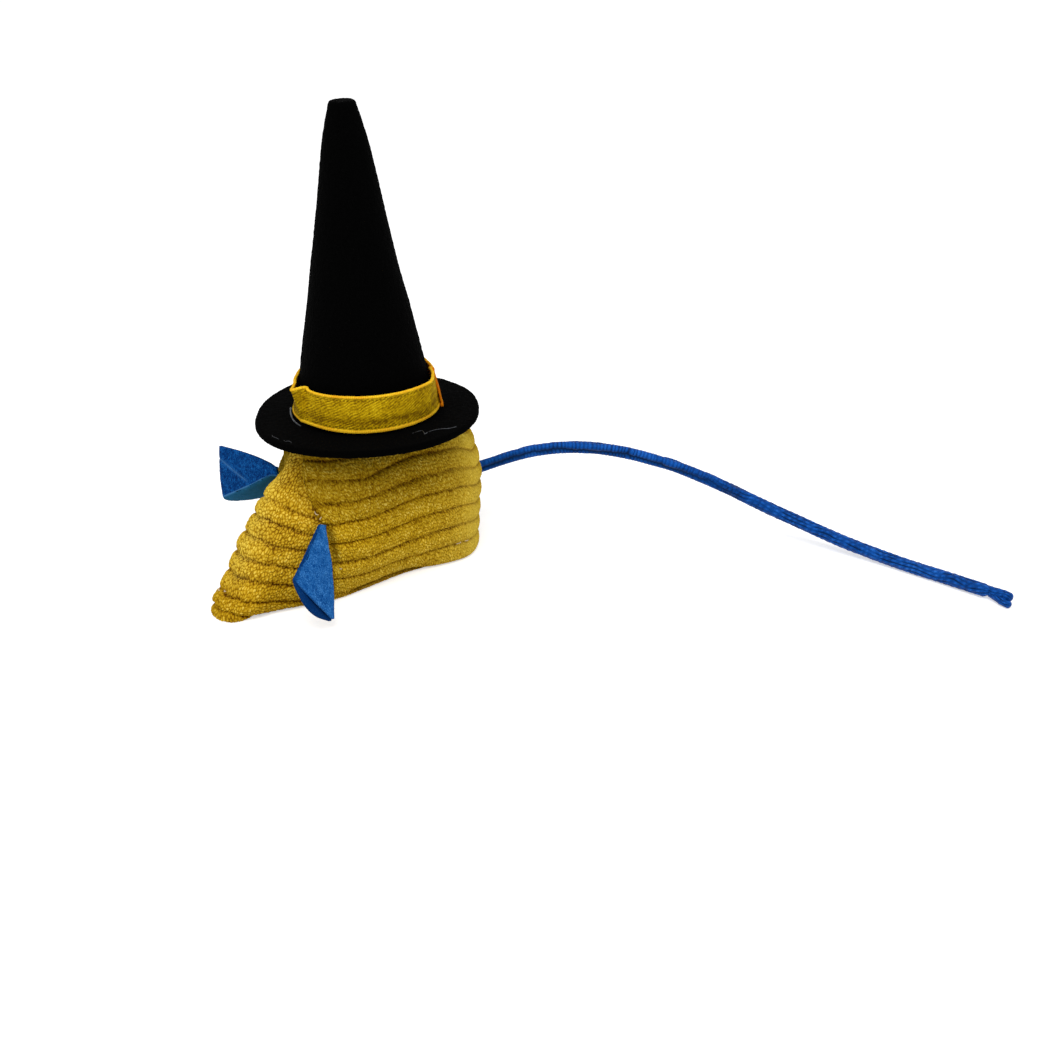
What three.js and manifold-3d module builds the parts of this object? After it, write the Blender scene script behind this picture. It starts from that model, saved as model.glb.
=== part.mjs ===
// A small stuffed mouse for cats: a ribbed corduroy body, folded felt ears, a cord tail and a pointed felt hat.
// Millimetres, +Z up. The nose points to -Y and the tail starts at +Y. The origin is on the ground,
// straight below the middle of the hat's brim.
import * as THREE from "three";
import { mergeVertices } from "three/addons/utils/BufferGeometryUtils.js";
import Module from "manifold-3d";

const wasm = await Module();
wasm.setup();

// Driving dimensions of the body
const bodyHeight = 39.3;
const noseReach = 49;
const rearReach = 28.2;
const halfWidth = 18;
const muzzleHalfWidth = 5.4;
const seamHalfWidth = 14.3;
const seamPlace = 22.5;
const panelThickness = 2;
const baseThickness = 1.6;
const clearance = 0.3;
const overrun = 8;

// Corduroy: the distance between grooves on each panel, and how deep a groove and a seam are
const sideRibPitch = 5.3;
const sideRibStart = 4.5;
const faceRibPitch = 4.1;
const faceRibStart = 1.4;
const faceRibDrop = 3.9;
const grooveDepth = 1;
const seamDepth = 1.1;
const seamSpread = 1.6;

// Felt ears
const earLength = 18.4;
const earMouthWidth = 13.8;
const earRootWidth = 2;
const earRootInset = 0.8;
const earStandOff = 0.9;
const earFelt = 1;
const earFoldRadius = 0.75;
const earMouthBulge = 0.7;
const earHeightLeft = 20.4;
const earHeightRight = 24;
const earMouthReach = 1.8;

// Cord tail
const cordDiameter = 3.2;
const tailHeight = 14.3;
const knotDiameter = 5.6;
const knotDepth = 7;
const tipDiameter = 3.8;
const tipLength = 4.6;

// Felt hat
const brimDiameter = 55;
const brimThickness = 1.8;
const brimHole = 32;
const coneHeight = 74.4;
const coneBaseDiameter = 34.8;
const coneWall = 1.3;
const bandWidth = 9.6;
const bandThickness = 0.6;
const bandSlack = 0.8;
const bandFlare = 0.5;
const bandRise = 0.6;
const bandKink = 2.4;
const bandEndLift = 1.8;
const hatTilt = THREE.MathUtils.degToRad(1.2);
const hatLean = THREE.MathUtils.degToRad(-1.1);
const hatOffset = 0.9;

const corduroy = { color: 0x9c7b1b, roughness: 0.95, metalness: 0 };
const blueFelt = { color: 0x205b99, roughness: 0.9, metalness: 0 };
const blueCord = { color: 0x113d73, roughness: 0.75, metalness: 0 };
const blackFelt = { color: 0x0b0a09, roughness: 0.95, metalness: 0 };
const ribbon = { color: 0xb08a17, roughness: 0.7, metalness: 0 };
const filling = { color: 0xe8e4d8, roughness: 1, metalness: 0 };

// Solids
function solid(geometry) {
  const bare = geometry.clone();
  bare.deleteAttribute("normal");
  bare.deleteAttribute("uv");
  const merged = mergeVertices(bare);
  return new wasm.Manifold(
    new wasm.Mesh({
      numProp: 3,
      vertProperties: merged.attributes.position.array,
      triVerts: new Uint32Array(merged.index.array),
    }),
  );
}

function geometryOf(shape) {
  const mesh = shape.getMesh();
  const geometry = new THREE.BufferGeometry();
  geometry.setAttribute("position", new THREE.BufferAttribute(new Float32Array(mesh.vertProperties), 3));
  geometry.setIndex(new THREE.BufferAttribute(new Uint32Array(mesh.triVerts), 1));
  const faceted = geometry.toNonIndexed();
  faceted.computeVertexNormals();
  return faceted;
}

function indexed(points, triangles) {
  const geometry = new THREE.BufferGeometry().setFromPoints(points);
  geometry.setIndex(triangles);
  return geometry;
}

function piece(name, geometry, look) {
  const mesh = new THREE.Mesh(geometry, new THREE.MeshStandardMaterial(look));
  mesh.name = name;
  return mesh;
}

// Body form: each level is a plan outline from the nose round the left side to the rear. A row holds shares:
// of the height, of the nose's reach, of the muzzle's half width, of the seam's half width and place,
// of the half width at shoulder, flank and rear corner, of the rear's reach at the corner and at the middle.
const levelShares = [
  [0.0, 0.975, 0.87, 0.965, 0.98, 0.79, 0.805, 0.955, 0.66, 0.98],
  [0.076, 0.98, 1.0, 0.985, 0.995, 0.85, 0.87, 0.982, 0.67, 0.995],
  [0.216, 0.902, 0.96, 0.975, 1.02, 0.915, 0.94, 1.005, 0.68, 1.0],
  [0.394, 0.803, 0.91, 0.92, 1.055, 0.935, 0.955, 1.015, 0.69, 1.015],
  [0.522, 0.722, 0.85, 0.79, 1.05, 0.905, 0.94, 1.01, 0.695, 1.015],
  [0.6, 0.685, 0.75, 0.67, 1.05, 0.9, 0.93, 1.0, 0.69, 1.01],
  [0.687, 0.637, 0.55, 0.48, 1.04, 0.885, 0.911, 0.985, 0.69, 1.01],
  [0.75, 0.585, 0.38, 0.34, 1.02, 0.855, 0.885, 0.955, 0.68, 1.0],
  [0.8, 0.53, 0.3, 0.26, 1.01, 0.82, 0.85, 0.922, 0.67, 0.98],
  [0.9, 0.475, 0.25, 0.2, 0.96, 0.69, 0.733, 0.805, 0.65, 0.935],
  [0.967, 0.44, 0.24, 0.19, 0.9, 0.556, 0.61, 0.667, 0.6, 0.86],
  [1.0, 0.42, 0.24, 0.19, 0.86, 0.444, 0.5, 0.522, 0.5, 0.74],
];
const muzzleBackShare = 0.045;
const cheekShare = 0.47;
const shoulderPlaceShare = 0.6;
const rearRoundShares = [0.65, 0.97];
// Steps round one side of an outline, counted in its control points: nose 0, seam 3, rear 8
const columns = [
  0, 0.5, 1, 1.5, 2, 2.45, 2.8, 2.93, 3, 3.1, 3.3, 3.6, 4, 4.5, 5, 5.5, 6, 6.4, 6.8, 7.2, 7.6, 7.85, 8,
];
const seamColumn = 3;
const rearColumn = 8;

// A smooth value between the rows of a table whose first entry is the height share
function between(table, share) {
  const last = table.length - 1;
  const at = Math.min(Math.max(share, table[0][0]), table[last][0]);
  let i = 0;
  while (i < last - 1 && at > table[i + 1][0]) i += 1;
  const slope = (k, c) => {
    const low = table[Math.max(k - 1, 0)];
    const high = table[Math.min(k + 1, last)];
    return (high[c] - low[c]) / (high[0] - low[0]);
  };
  const width = table[i + 1][0] - table[i][0];
  const x = (at - table[i][0]) / width;
  return table[i].map((low, c) => {
    const rise = table[i + 1][c] - low;
    const start = slope(i, c) * width;
    const end = slope(i + 1, c) * width;
    return low + x * (start + x * (3 * rise - 2 * start - end + x * (start + end - 2 * rise)));
  });
}

function outline(height) {
  const level = between(levelShares, height / bodyHeight).slice(1);
  const [nose, muzzle, seamOut, seamBack, shoulder, flank, corner, cornerBack, rear] = level;
  const noseY = -noseReach * nose;
  const front = [muzzleHalfWidth * muzzle, noseY + noseReach * muzzleBackShare];
  const seam = [seamHalfWidth * seamOut, -seamPlace * seamBack];
  const cheek = front.map((v, i) => THREE.MathUtils.lerp(v, seam[i], cheekShare));
  const side = [
    front,
    cheek,
    seam,
    [halfWidth * shoulder, -seamPlace * shoulderPlaceShare],
    [halfWidth * flank, 0],
    [halfWidth * corner, rearReach * cornerBack],
    [halfWidth * corner * rearRoundShares[0], rearReach * rear * rearRoundShares[1]],
  ];
  const left = side.map(([x, y]) => new THREE.Vector3(x, y, height));
  const right = [...side].reverse().map(([x, y]) => new THREE.Vector3(-x, y, height));
  const nosePoint = new THREE.Vector3(0, noseY, height);
  const rearPoint = new THREE.Vector3(0, rearReach * rear, height);
  return new THREE.CatmullRomCurve3([nosePoint, ...left, rearPoint, ...right], true, "centripetal");
}

// A point of the body's skin, pushed out along its normal and drawn in beside a sewn seam
const turn = 2 * rearColumn;
const seamColumns = [seamColumn, rearColumn, turn - seamColumn];
const smallShare = 1e-3;
function skinPoint(column, height, push, sewn = true) {
  const at = ((column + turn) % turn) / turn;
  const here = outline(height);
  const point = here.getPoint(at);
  const rise = bodyHeight * smallShare;
  const level = THREE.MathUtils.clamp(height, rise, bodyHeight - rise);
  const higher = outline(level + rise).getPoint(at);
  const lower = outline(level - rise).getPoint(at);
  const next = here.getPoint((at + smallShare) % 1);
  const before = here.getPoint((at - smallShare + 1) % 1);
  const normal = next.sub(before).cross(higher.sub(lower)).normalize();
  const away = Math.min(...seamColumns.map((c) => here.getPoint(c / turn).distanceTo(point)));
  const dip = sewn ? seamDepth * Math.exp(-((away / seamSpread) ** 2)) : 0;
  return point.addScaledVector(normal, push - dip);
}

// Closed skin through rows of heights: heightAt(row, column) and pointAt(column, height, row)
function skin(rowCount, columnList, heightAt, pointAt) {
  const mirrored = columnList.slice(1, -1).reverse().map((c) => -c);
  const ring = [...columnList, ...mirrored];
  const n = ring.length;
  const points = [];
  for (let row = 0; row < rowCount; row += 1) {
    for (const column of ring) {
      const height = heightAt(row, Math.abs(column));
      points.push(pointAt(column, height, row).setZ(height));
    }
  }
  const triangles = [];
  for (let row = 0; row < rowCount - 1; row += 1) {
    for (let i = 0; i < n; i += 1) {
      const a = row * n + i;
      const b = row * n + ((i + 1) % n);
      triangles.push(a, b, a + n, b, b + n, a + n);
    }
  }
  for (const row of [0, rowCount - 1]) {
    const middle = new THREE.Vector3();
    for (let i = 0; i < n; i += 1) middle.addScaledVector(points[row * n + i], 1 / n);
    const centre = points.push(middle) - 1;
    for (let i = 0; i < n; i += 1) {
      const a = row * n + i;
      const b = row * n + ((i + 1) % n);
      triangles.push(centre, row === 0 ? b : a, row === 0 ? a : b);
    }
  }
  return solid(indexed(points, triangles));
}

// Corduroy skin: four rows to a rib, from groove to groove. On the face the ribs drop from the ridge to the seams.
const ribPhaseShares = [0, 0.16, 0.5, 0.84];
const ribRoundness = 0.6;
function corduroySkin(start, pitch, drop) {
  const per = ribPhaseShares.length;
  const first = start - pitch * Math.ceil((start + overrun) / pitch);
  const ribs = Math.ceil((bodyHeight + overrun + drop - first) / pitch);
  const phase = (row) => ribPhaseShares[row % per];
  const heightAt = (row, column) =>
    first + pitch * (Math.floor(row / per) + phase(row)) - drop * Math.min(column / seamColumn, 1);
  const pushAt = (row) => -grooveDepth * (1 - Math.sin(Math.PI * phase(row)) ** ribRoundness);
  return skin(ribs * per, columns, heightAt, (column, height, row) => skinPoint(column, height, pushAt(row)));
}

// Plain skin inside the panels, drawn in towards the body's middle
const innerRows = 10;
const middlePlace = -seamPlace / 3;
function plainSkin(inset) {
  const coarse = columns.filter((c, i) => i % 2 === 0);
  const heightAt = (row) => THREE.MathUtils.lerp(-overrun, bodyHeight + overrun, row / (innerRows - 1));
  const pointAt = (column, height) => {
    const point = outline(height).getPoint(((column + turn) % turn) / turn);
    const inwards = new THREE.Vector3(0, middlePlace, height).sub(point).normalize();
    return point.addScaledVector(inwards, grooveDepth + inset);
  };
  return skin(innerRows, coarse, heightAt, pointAt);
}

// The hat's seat on the body, the space below it and the space above a height
const seat = new THREE.Matrix4()
  .makeTranslation(hatOffset, 0, bodyHeight)
  .multiply(new THREE.Matrix4().makeRotationFromEuler(new THREE.Euler(hatTilt, hatLean, 0)));
const roomWidth = 4 * noseReach;
function room(x, y, z) {
  const box = new THREE.BoxGeometry(roomWidth, roomWidth, roomWidth);
  return box.translate(x * roomWidth / 2, y * roomWidth / 2, z * roomWidth / 2);
}
const belowSeat = (depth) => solid(room(0, 0, -1).translate(0, 0, -depth).applyMatrix4(seat));
const aboveHeight = (height) => solid(room(0, 0, 1).translate(0, 0, height));
const besideMiddle = (side) => solid(room(side, 0, 0).translate(side * clearance / 2, 0, 0));

// The space in front of both sewn seams of the face, moved back by a distance: its corners follow the seams
const wedgeLevels = 16;
const seamSlantShare = 0.33;
function faceWedge(back) {
  const points = [];
  for (let i = 0; i <= wedgeLevels; i += 1) {
    const height = THREE.MathUtils.lerp(-overrun, bodyHeight + overrun, i / wedgeLevels);
    const seam = outline(height).getPoint(seamColumn / turn);
    const fold = seam.x * seamSlantShare + back + seam.y;
    const far = fold - roomWidth * seamSlantShare;
    for (const [x, y] of [
      [0, fold],
      [-roomWidth, far],
      [-roomWidth, -roomWidth],
      [roomWidth, -roomWidth],
      [roomWidth, far],
    ]) points.push(new THREE.Vector3(x, y, height));
  }
  const n = points.length / (wedgeLevels + 1);
  const top = points.length - n;
  const triangles = [];
  for (let level = 0; level < top; level += n) {
    for (let i = 0; i < n; i += 1) {
      const a = level + i;
      const b = level + ((i + 1) % n);
      triangles.push(a, b, a + n, b, b + n, a + n);
    }
  }
  for (let i = 1; i < n - 1; i += 1) {
    triangles.push(0, i + 1, i);
    triangles.push(top, top + i, top + i + 1);
  }
  return solid(indexed(points, triangles));
}

function ball(radius, centre) {
  const sphere = new THREE.SphereGeometry(radius, 16, 10);
  return solid(sphere.translate(centre.x, centre.y, centre.z));
}

// A sheet of felt or ribbon: a grid of points on its middle surface, given its thickness on both sides
function sheet(grid, thickness) {
  const rows = grid.length;
  const across = grid[0].length;
  const faces = [[], []];
  for (let r = 0; r < rows; r += 1) {
    for (let c = 0; c < across; c += 1) {
      const down = grid[Math.min(r + 1, rows - 1)][c].clone().sub(grid[Math.max(r - 1, 0)][c]);
      const over = grid[r][Math.min(c + 1, across - 1)].clone().sub(grid[r][Math.max(c - 1, 0)]);
      const normal = over.cross(down).normalize();
      faces[0].push(grid[r][c].clone().addScaledVector(normal, thickness / 2));
      faces[1].push(grid[r][c].clone().addScaledVector(normal, -thickness / 2));
    }
  }
  const back = rows * across;
  const triangles = [];
  const quad = (a, b, c, d) => triangles.push(a, b, c, a, c, d);
  for (let r = 0; r < rows - 1; r += 1) {
    for (let c = 0; c < across - 1; c += 1) {
      const a = r * across + c;
      quad(a, a + 1, a + across + 1, a + across);
      quad(back + a, back + a + across, back + a + across + 1, back + a + 1);
    }
  }
  for (let c = 0; c < across - 1; c += 1) {
    const last = (rows - 1) * across + c;
    quad(c, back + c, back + c + 1, c + 1);
    quad(last, last + 1, back + last + 1, back + last);
  }
  for (let r = 0; r < rows - 1; r += 1) {
    const a = r * across;
    const b = a + across - 1;
    quad(a, a + across, back + a + across, back + a);
    quad(b, back + b, back + b + across, b + across);
  }
  return indexed([...faces[0], ...faces[1]], triangles);
}

// Ears: a felt triangle folded in two, pinched at the root. Layer one is flat, layer two opens from the fold.
// Locally +X points outwards and Z runs across the mouth. A slant makes the folded side the longer one.
const earRows = 5;
const layerSteps = 4;
const foldSteps = 3;
const outerReachShare = 1 / 3;
function earSheet({ opening, facing, slant, mouthBulge, mouthReach }) {
  const grid = [];
  for (let r = 0; r <= earRows; r += 1) {
    const share = r / earRows;
    const half = THREE.MathUtils.lerp(earRootWidth, earMouthWidth, share) / 2;
    const open = THREE.MathUtils.degToRad(opening) * share;
    const x = THREE.MathUtils.lerp(-earRootInset, earLength, share);
    const foldZ = -half + earFoldRadius;
    const length = half - foldZ;
    const row = [];
    const place = (y, z, middle, reach) => {
      const along = x + reach * middle * share - slant * earLength * share * (z / half);
      const swell = mouthBulge * middle * share * Math.sign(y);
      row.push(new THREE.Vector3(along, (y + swell) * facing, z));
    };
    for (let i = 0; i < layerSteps; i += 1) {
      const step = i / layerSteps;
      place(earFoldRadius, half - length * step, Math.sin(Math.PI * step), -mouthReach * outerReachShare);
    }
    for (let i = 0; i <= foldSteps; i += 1) {
      const angle = -((Math.PI - open) * i) / foldSteps;
      place(earFoldRadius * Math.cos(angle), foldZ + earFoldRadius * Math.sin(angle), 0, 0);
    }
    for (let i = 1; i <= layerSteps; i += 1) {
      const step = i / layerSteps;
      const y = -earFoldRadius * Math.cos(open) - length * step * Math.sin(open);
      const z = foldZ - earFoldRadius * Math.sin(open) + length * step * Math.cos(open);
      place(y, z, Math.sin(Math.PI * step), mouthReach);
    }
    grid.push(row);
  }
  if (facing < 0) grid.reverse();
  return sheet(grid, earFelt);
}

// Each ear's height, how it stands (degrees) and how far it opens
const ears = [
  {
    name: "ear_left",
    side: 1,
    height: earHeightLeft,
    heading: -46.5,
    droop: 38,
    roll: 32,
    fold: { opening: 3, facing: 1, slant: 0.1, mouthBulge: earMouthBulge, mouthReach: earMouthReach },
  },
  {
    name: "ear_right",
    side: -1,
    height: earHeightRight,
    heading: 0,
    droop: 9,
    roll: -7,
    fold: { opening: 98, facing: -1, slant: 0, mouthBulge: 0, mouthReach: 0 },
  },
];
const earPivot = (ear) => skinPoint(ear.side * seamColumn, ear.height, earStandOff, false);
function earPiece(ear) {
  const [heading, droop, roll] = [ear.heading, ear.droop, ear.roll].map(THREE.MathUtils.degToRad);
  const stand = new THREE.Group();
  stand.position.copy(earPivot(ear));
  stand.scale.set(ear.side, 1, 1);
  const mesh = piece(ear.name, earSheet(ear.fold), blueFelt);
  mesh.rotation.set(roll, droop, heading, "ZYX");
  stand.add(mesh);
  return stand;
}

// Tail: a ball at its root that swings in a dimple of the rear seam, the cord, its sealed tip, and the sewn-in knot
const tailPivot = new THREE.Vector3(0, rearReach, tailHeight);
const tailPoints = [
  [1.1, 30.2, 14.9], [4.9, 35.2, 17.0], [9.0, 40.2, 19.1], [13.3, 45.0, 20.8], [17.7, 49.7, 21.7],
  [22.2, 54.2, 21.9], [26.9, 58.6, 21.5], [31.8, 62.7, 20.6], [36.8, 66.7, 19.2], [42.1, 70.5, 17.6],
  [47.6, 74.0, 15.5], [53.2, 77.3, 13.2], [59.1, 80.3, 10.8], [65.1, 83.1, 8.5], [71.2, 85.6, 6.6],
  [77.5, 87.7, 4.9], [83.9, 89.6, 3.5], [90.3, 91.2, 2.6], [96.6, 92.6, 2.0], [103.2, 93.6, 1.8],
  [109.8, 94.4, 1.8], [116.3, 95.0, 1.9], [123.3, 95.6, 2.1],
];
const tailCurve = new THREE.CatmullRomCurve3(tailPoints.map((p) => new THREE.Vector3(...p)));
const tailSides = 8;
const tailSteps = 24;

function tailCord() {
  const section = new THREE.Shape();
  for (let i = 0; i < tailSides; i += 1) {
    const angle = (2 * Math.PI * i) / tailSides;
    const x = (cordDiameter / 2) * Math.cos(angle);
    const y = (cordDiameter / 2) * Math.sin(angle);
    if (i === 0) section.moveTo(x, y);
    else section.lineTo(x, y);
  }
  section.closePath();
  return new THREE.ExtrudeGeometry(section, { steps: tailSteps, extrudePath: tailCurve, curveSegments: 1 });
}

// A turned solid whose profile starts and ends on its axis, laid along +Z
const turned = (profile, sides) => new THREE.LatheGeometry(profile, sides).rotateX(Math.PI / 2);
const alongZ = new THREE.Vector3(0, 0, 1);

function roundedRod(radius, length, sides) {
  const steps = 3;
  const profile = [new THREE.Vector2(0, 0)];
  for (let i = 0; i <= steps; i += 1) {
    const angle = ((i / steps) * Math.PI) / 2;
    profile.push(new THREE.Vector2(radius * Math.cos(angle), length - radius + radius * Math.sin(angle)));
  }
  profile.splice(1, 0, new THREE.Vector2(radius, 0));
  profile[profile.length - 1].setX(0);
  return turned(profile, sides);
}

function tailTip() {
  const end = tailCurve.getPoint(1);
  const along = tailCurve.getTangent(1);
  const tip = roundedRod(tipDiameter / 2, tipLength, 12);
  const mesh = piece("tail_tip", tip, blueCord);
  mesh.quaternion.setFromUnitVectors(alongZ, along);
  mesh.position.copy(end).addScaledVector(along, clearance);
  return mesh;
}

// The sewn-in end: a short neck through the seam with a knot behind it, and the room that it needs
const neckStart = cordDiameter / 2 + clearance;
function tailKnot(room) {
  const neck = cordDiameter / 2 + room;
  const knot = knotDiameter / 2 + room;
  const steps = 6;
  const profile = [new THREE.Vector2(0, neckStart - room), new THREE.Vector2(neck, neckStart - room)];
  const meet = Math.asin(neck / knot);
  for (let i = 0; i <= steps; i += 1) {
    const angle = THREE.MathUtils.lerp(meet, Math.PI, i / steps);
    profile.push(new THREE.Vector2(knot * Math.sin(angle), knotDepth - knot * Math.cos(angle)));
  }
  profile[profile.length - 1].setX(0);
  return turned(profile, 12).rotateX(Math.PI / 2).translate(tailPivot.x, tailPivot.y, tailPivot.z);
}

// The body's pieces
const insideSkin = plainSkin(panelThickness);
const fillSkin = plainSkin(panelThickness + clearance);
const panelTop = belowSeat(0);
const insideTop = belowSeat(panelThickness);
const fillTop = belowSeat(panelThickness + clearance);
const earReach = Math.hypot(earRootWidth / 2 + earFelt / 2, earRootInset) + clearance;
const sewnIn = [
  ...ears.map((ear) => ball(earReach, earPivot(ear))),
  ball(cordDiameter / 2 + clearance, tailPivot),
  solid(tailKnot(clearance)),
];

function panel(outside, cuts) {
  let shape = outside.intersect(panelTop).intersect(aboveHeight(0)).subtract(insideSkin.intersect(insideTop));
  for (const cut of cuts) shape = shape.intersect(cut);
  for (const room of sewnIn) shape = shape.subtract(room);
  return geometryOf(shape);
}

function bodyPieces() {
  const face = corduroySkin(faceRibStart, faceRibPitch, faceRibDrop);
  const sides = corduroySkin(sideRibStart, sideRibPitch, 0);
  const behindFace = solid(room(0, 0, 0)).subtract(faceWedge(clearance / 2));
  const base = fillSkin.intersect(aboveHeight(0)).subtract(aboveHeight(baseThickness));
  let fill = fillSkin.intersect(fillTop).intersect(aboveHeight(baseThickness + clearance));
  fill = fill.subtract(solid(tailKnot(clearance)));
  return [
    piece("face_panel", panel(face, [faceWedge(-clearance / 2)]), corduroy),
    piece("side_panel_left", panel(sides, [behindFace, besideMiddle(1)]), corduroy),
    piece("side_panel_right", panel(sides, [behindFace, besideMiddle(-1)]), corduroy),
    piece("base_panel", geometryOf(base), corduroy),
    piece("stuffing", geometryOf(fill), filling),
    piece("tail_knot", tailKnot(0), blueCord),
  ];
}

// Hat: brim ring, hollow cone on it, and a loose ribbon round the cone's foot
const hatSides = 48;
const coneShares = [
  [0, 1], [0.2, 0.838], [0.4, 0.665], [0.6, 0.507], [0.7, 0.434], [0.8, 0.362], [0.88, 0.3], [0.95, 0.232],
  [1, 0.175],
];
const coneBase = 2 * clearance + brimThickness;

function coneRadius(height) {
  const share = THREE.MathUtils.clamp(height / coneHeight, 0, 1);
  const next = Math.max(coneShares.findIndex(([h]) => h >= share), 1);
  const [low, high] = [coneShares[next - 1], coneShares[next]];
  const part = (share - low[0]) / (high[0] - low[0]);
  return (coneBaseDiameter / 2) * THREE.MathUtils.lerp(low[1], high[1], part);
}

function hatCone() {
  const outer = coneShares.map(([h]) => new THREE.Vector2(coneRadius(h * coneHeight), h * coneHeight));
  const crown = outer[outer.length - 1];
  crown.y -= coneWall / 2;
  const cap = new THREE.Vector2(crown.x - coneWall / 2, coneHeight);
  const inner = outer.slice(0, -1).map((p) => new THREE.Vector2(p.x - coneWall, p.y)).reverse();
  const ceiling = coneHeight - 2 * coneWall;
  const profile = [
    ...outer, cap, new THREE.Vector2(0, coneHeight), new THREE.Vector2(0, ceiling),
    new THREE.Vector2(crown.x - coneWall, ceiling), ...inner, outer[0].clone(),
  ];
  const cone = turned(profile, hatSides);
  return piece("hat_cone", cone.translate(0, 0, coneBase), blackFelt);
}

function hatBrim() {
  const outer = brimDiameter / 2;
  const round = brimThickness / 2;
  const steps = 4;
  const profile = [new THREE.Vector2(brimHole / 2, 0)];
  for (let i = 0; i <= steps; i += 1) {
    const angle = Math.PI * (i / steps - 0.5);
    profile.push(new THREE.Vector2(outer - round + round * Math.cos(angle), round + round * Math.sin(angle)));
  }
  profile.push(new THREE.Vector2(brimHole / 2, brimThickness), profile[0].clone());
  const brim = turned(profile, hatSides);
  return piece("hat_brim", brim.translate(0, 0, clearance), blackFelt);
}

// The ribbon starts under its own outer end, runs behind the cone, kinks at the back left and ends at the right
const radians = THREE.MathUtils.degToRad;
const bandStart = radians(18);
const bandEnd = radians(398);
const bandOverlapStart = radians(353);
const bandOverlapFull = radians(376);
const bandLiftStart = radians(384);
const bandKinkAt = radians(208);
const bandKinkSpread = radians(13);
const bandFrontAt = radians(315);
const bandColumns = 44;
const bandRows = 2;
function hatBand() {
  const grid = [];
  for (let c = 0; c <= bandColumns; c += 1) {
    const angle = THREE.MathUtils.lerp(bandStart, bandEnd, c / bandColumns);
    const behind = (1 - Math.cos(angle - bandFrontAt)) / 2;
    const kink = bandKink * Math.exp(-(((angle - bandKinkAt) / bandKinkSpread) ** 2));
    const over = THREE.MathUtils.smoothstep(angle, bandOverlapStart, bandOverlapFull);
    const lift = THREE.MathUtils.smoothstep(angle, bandLiftStart, bandEnd) * bandEndLift;
    const column = [];
    for (let r = 0; r <= bandRows; r += 1) {
      const share = r / bandRows;
      const height = clearance + bandRise * behind + bandWidth * share;
      const flare = bandFlare * (1 - behind) * share;
      const overlap = over * (bandThickness + clearance);
      const radius = coneRadius(height) + bandSlack + flare + overlap + (kink + lift) * (1 - share);
      column.push(new THREE.Vector3(radius * Math.cos(angle), radius * Math.sin(angle), height));
    }
    grid.push(column);
  }
  const band = sheet(grid, bandThickness);
  return piece("hat_band", band.translate(0, 0, coneBase - clearance), ribbon);
}

const hat = new THREE.Group();
hat.applyMatrix4(seat);
hat.add(hatBrim(), hatCone(), hatBand());

const mouse = new THREE.Group();
mouse.add(...bodyPieces(), ...ears.map(earPiece), hat);
mouse.add(piece("tail_root", geometryOf(ball(cordDiameter / 2, tailPivot)), blueCord));
mouse.add(piece("tail_cord", tailCord(), blueCord), tailTip());

for (const ear of ears) console.log(ear.name, "pivot", earPivot(ear).toArray().map((v) => v.toFixed(2)).join(" "));
console.log("tail pivot", tailPivot.toArray().join(" "), "length", tailCurve.getLength().toFixed(1));

export default mouse;
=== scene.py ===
# %% [markdown]
# # A stuffed toy mouse for cats
# The toy is five materials and no hard part: a corduroy body stuffed with fibre, two folded ears of blue
# felt, a knitted cord for a tail, a pointed hat of black felt and a yellow ribbon round it. The packed
# model gives every piece its place and its joints. This file makes each piece again with the detail that
# the eye expects: tufts of pile, stitches, felt fibres and the weave of the ribbon.

# %% Load the fixed frame
import math

import bpy
import numpy as np
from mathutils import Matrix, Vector


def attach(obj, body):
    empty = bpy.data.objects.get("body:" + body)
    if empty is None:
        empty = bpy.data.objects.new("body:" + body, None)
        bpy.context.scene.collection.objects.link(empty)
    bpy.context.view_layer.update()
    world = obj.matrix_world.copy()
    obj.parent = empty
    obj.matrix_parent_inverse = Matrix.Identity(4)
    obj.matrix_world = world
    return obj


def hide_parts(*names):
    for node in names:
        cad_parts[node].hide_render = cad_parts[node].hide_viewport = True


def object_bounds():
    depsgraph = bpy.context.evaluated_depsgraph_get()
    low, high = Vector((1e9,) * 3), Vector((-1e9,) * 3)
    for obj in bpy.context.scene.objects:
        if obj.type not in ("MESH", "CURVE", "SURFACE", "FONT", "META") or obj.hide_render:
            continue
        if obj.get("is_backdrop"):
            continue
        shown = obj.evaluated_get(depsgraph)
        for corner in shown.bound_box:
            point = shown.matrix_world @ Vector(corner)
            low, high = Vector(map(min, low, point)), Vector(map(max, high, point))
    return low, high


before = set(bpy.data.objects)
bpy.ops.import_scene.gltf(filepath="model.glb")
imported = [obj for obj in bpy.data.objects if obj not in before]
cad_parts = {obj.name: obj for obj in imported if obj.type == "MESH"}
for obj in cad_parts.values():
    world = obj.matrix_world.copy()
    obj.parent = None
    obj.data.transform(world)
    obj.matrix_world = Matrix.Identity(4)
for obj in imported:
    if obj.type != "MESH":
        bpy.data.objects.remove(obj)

cad_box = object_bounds()
scene = bpy.context.scene
scene.view_settings.view_transform = "Standard"
MM = 0.001

# %% [markdown]
# ## The camera
# The photograph was taken from the toy's front left, a little above it. The angle was found by laying the
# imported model's outline over the photograph, so the camera stands here and isn't moved to flatter a
# piece.

# %% Camera
EYE = (0.278141, -0.213357, 0.175789)
LOOK_DOWN, LOOK_AROUND = 25.5603, 46
FOCAL_PIXELS, PHOTO_PIXELS, SENSOR = 1500, 1050, 36

camera = bpy.data.objects.new("camera", bpy.data.cameras.new("camera"))
camera.location = EYE
camera.rotation_euler = (math.radians(90 - LOOK_DOWN), 0, math.radians(LOOK_AROUND))
camera.data.sensor_width = SENSOR
camera.data.lens = FOCAL_PIXELS / PHOTO_PIXELS * SENSOR
camera.data.clip_start = 0.01
scene.collection.objects.link(camera)
scene.camera = camera
print("camera: %.1f mm lens" % camera.data.lens)

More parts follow.
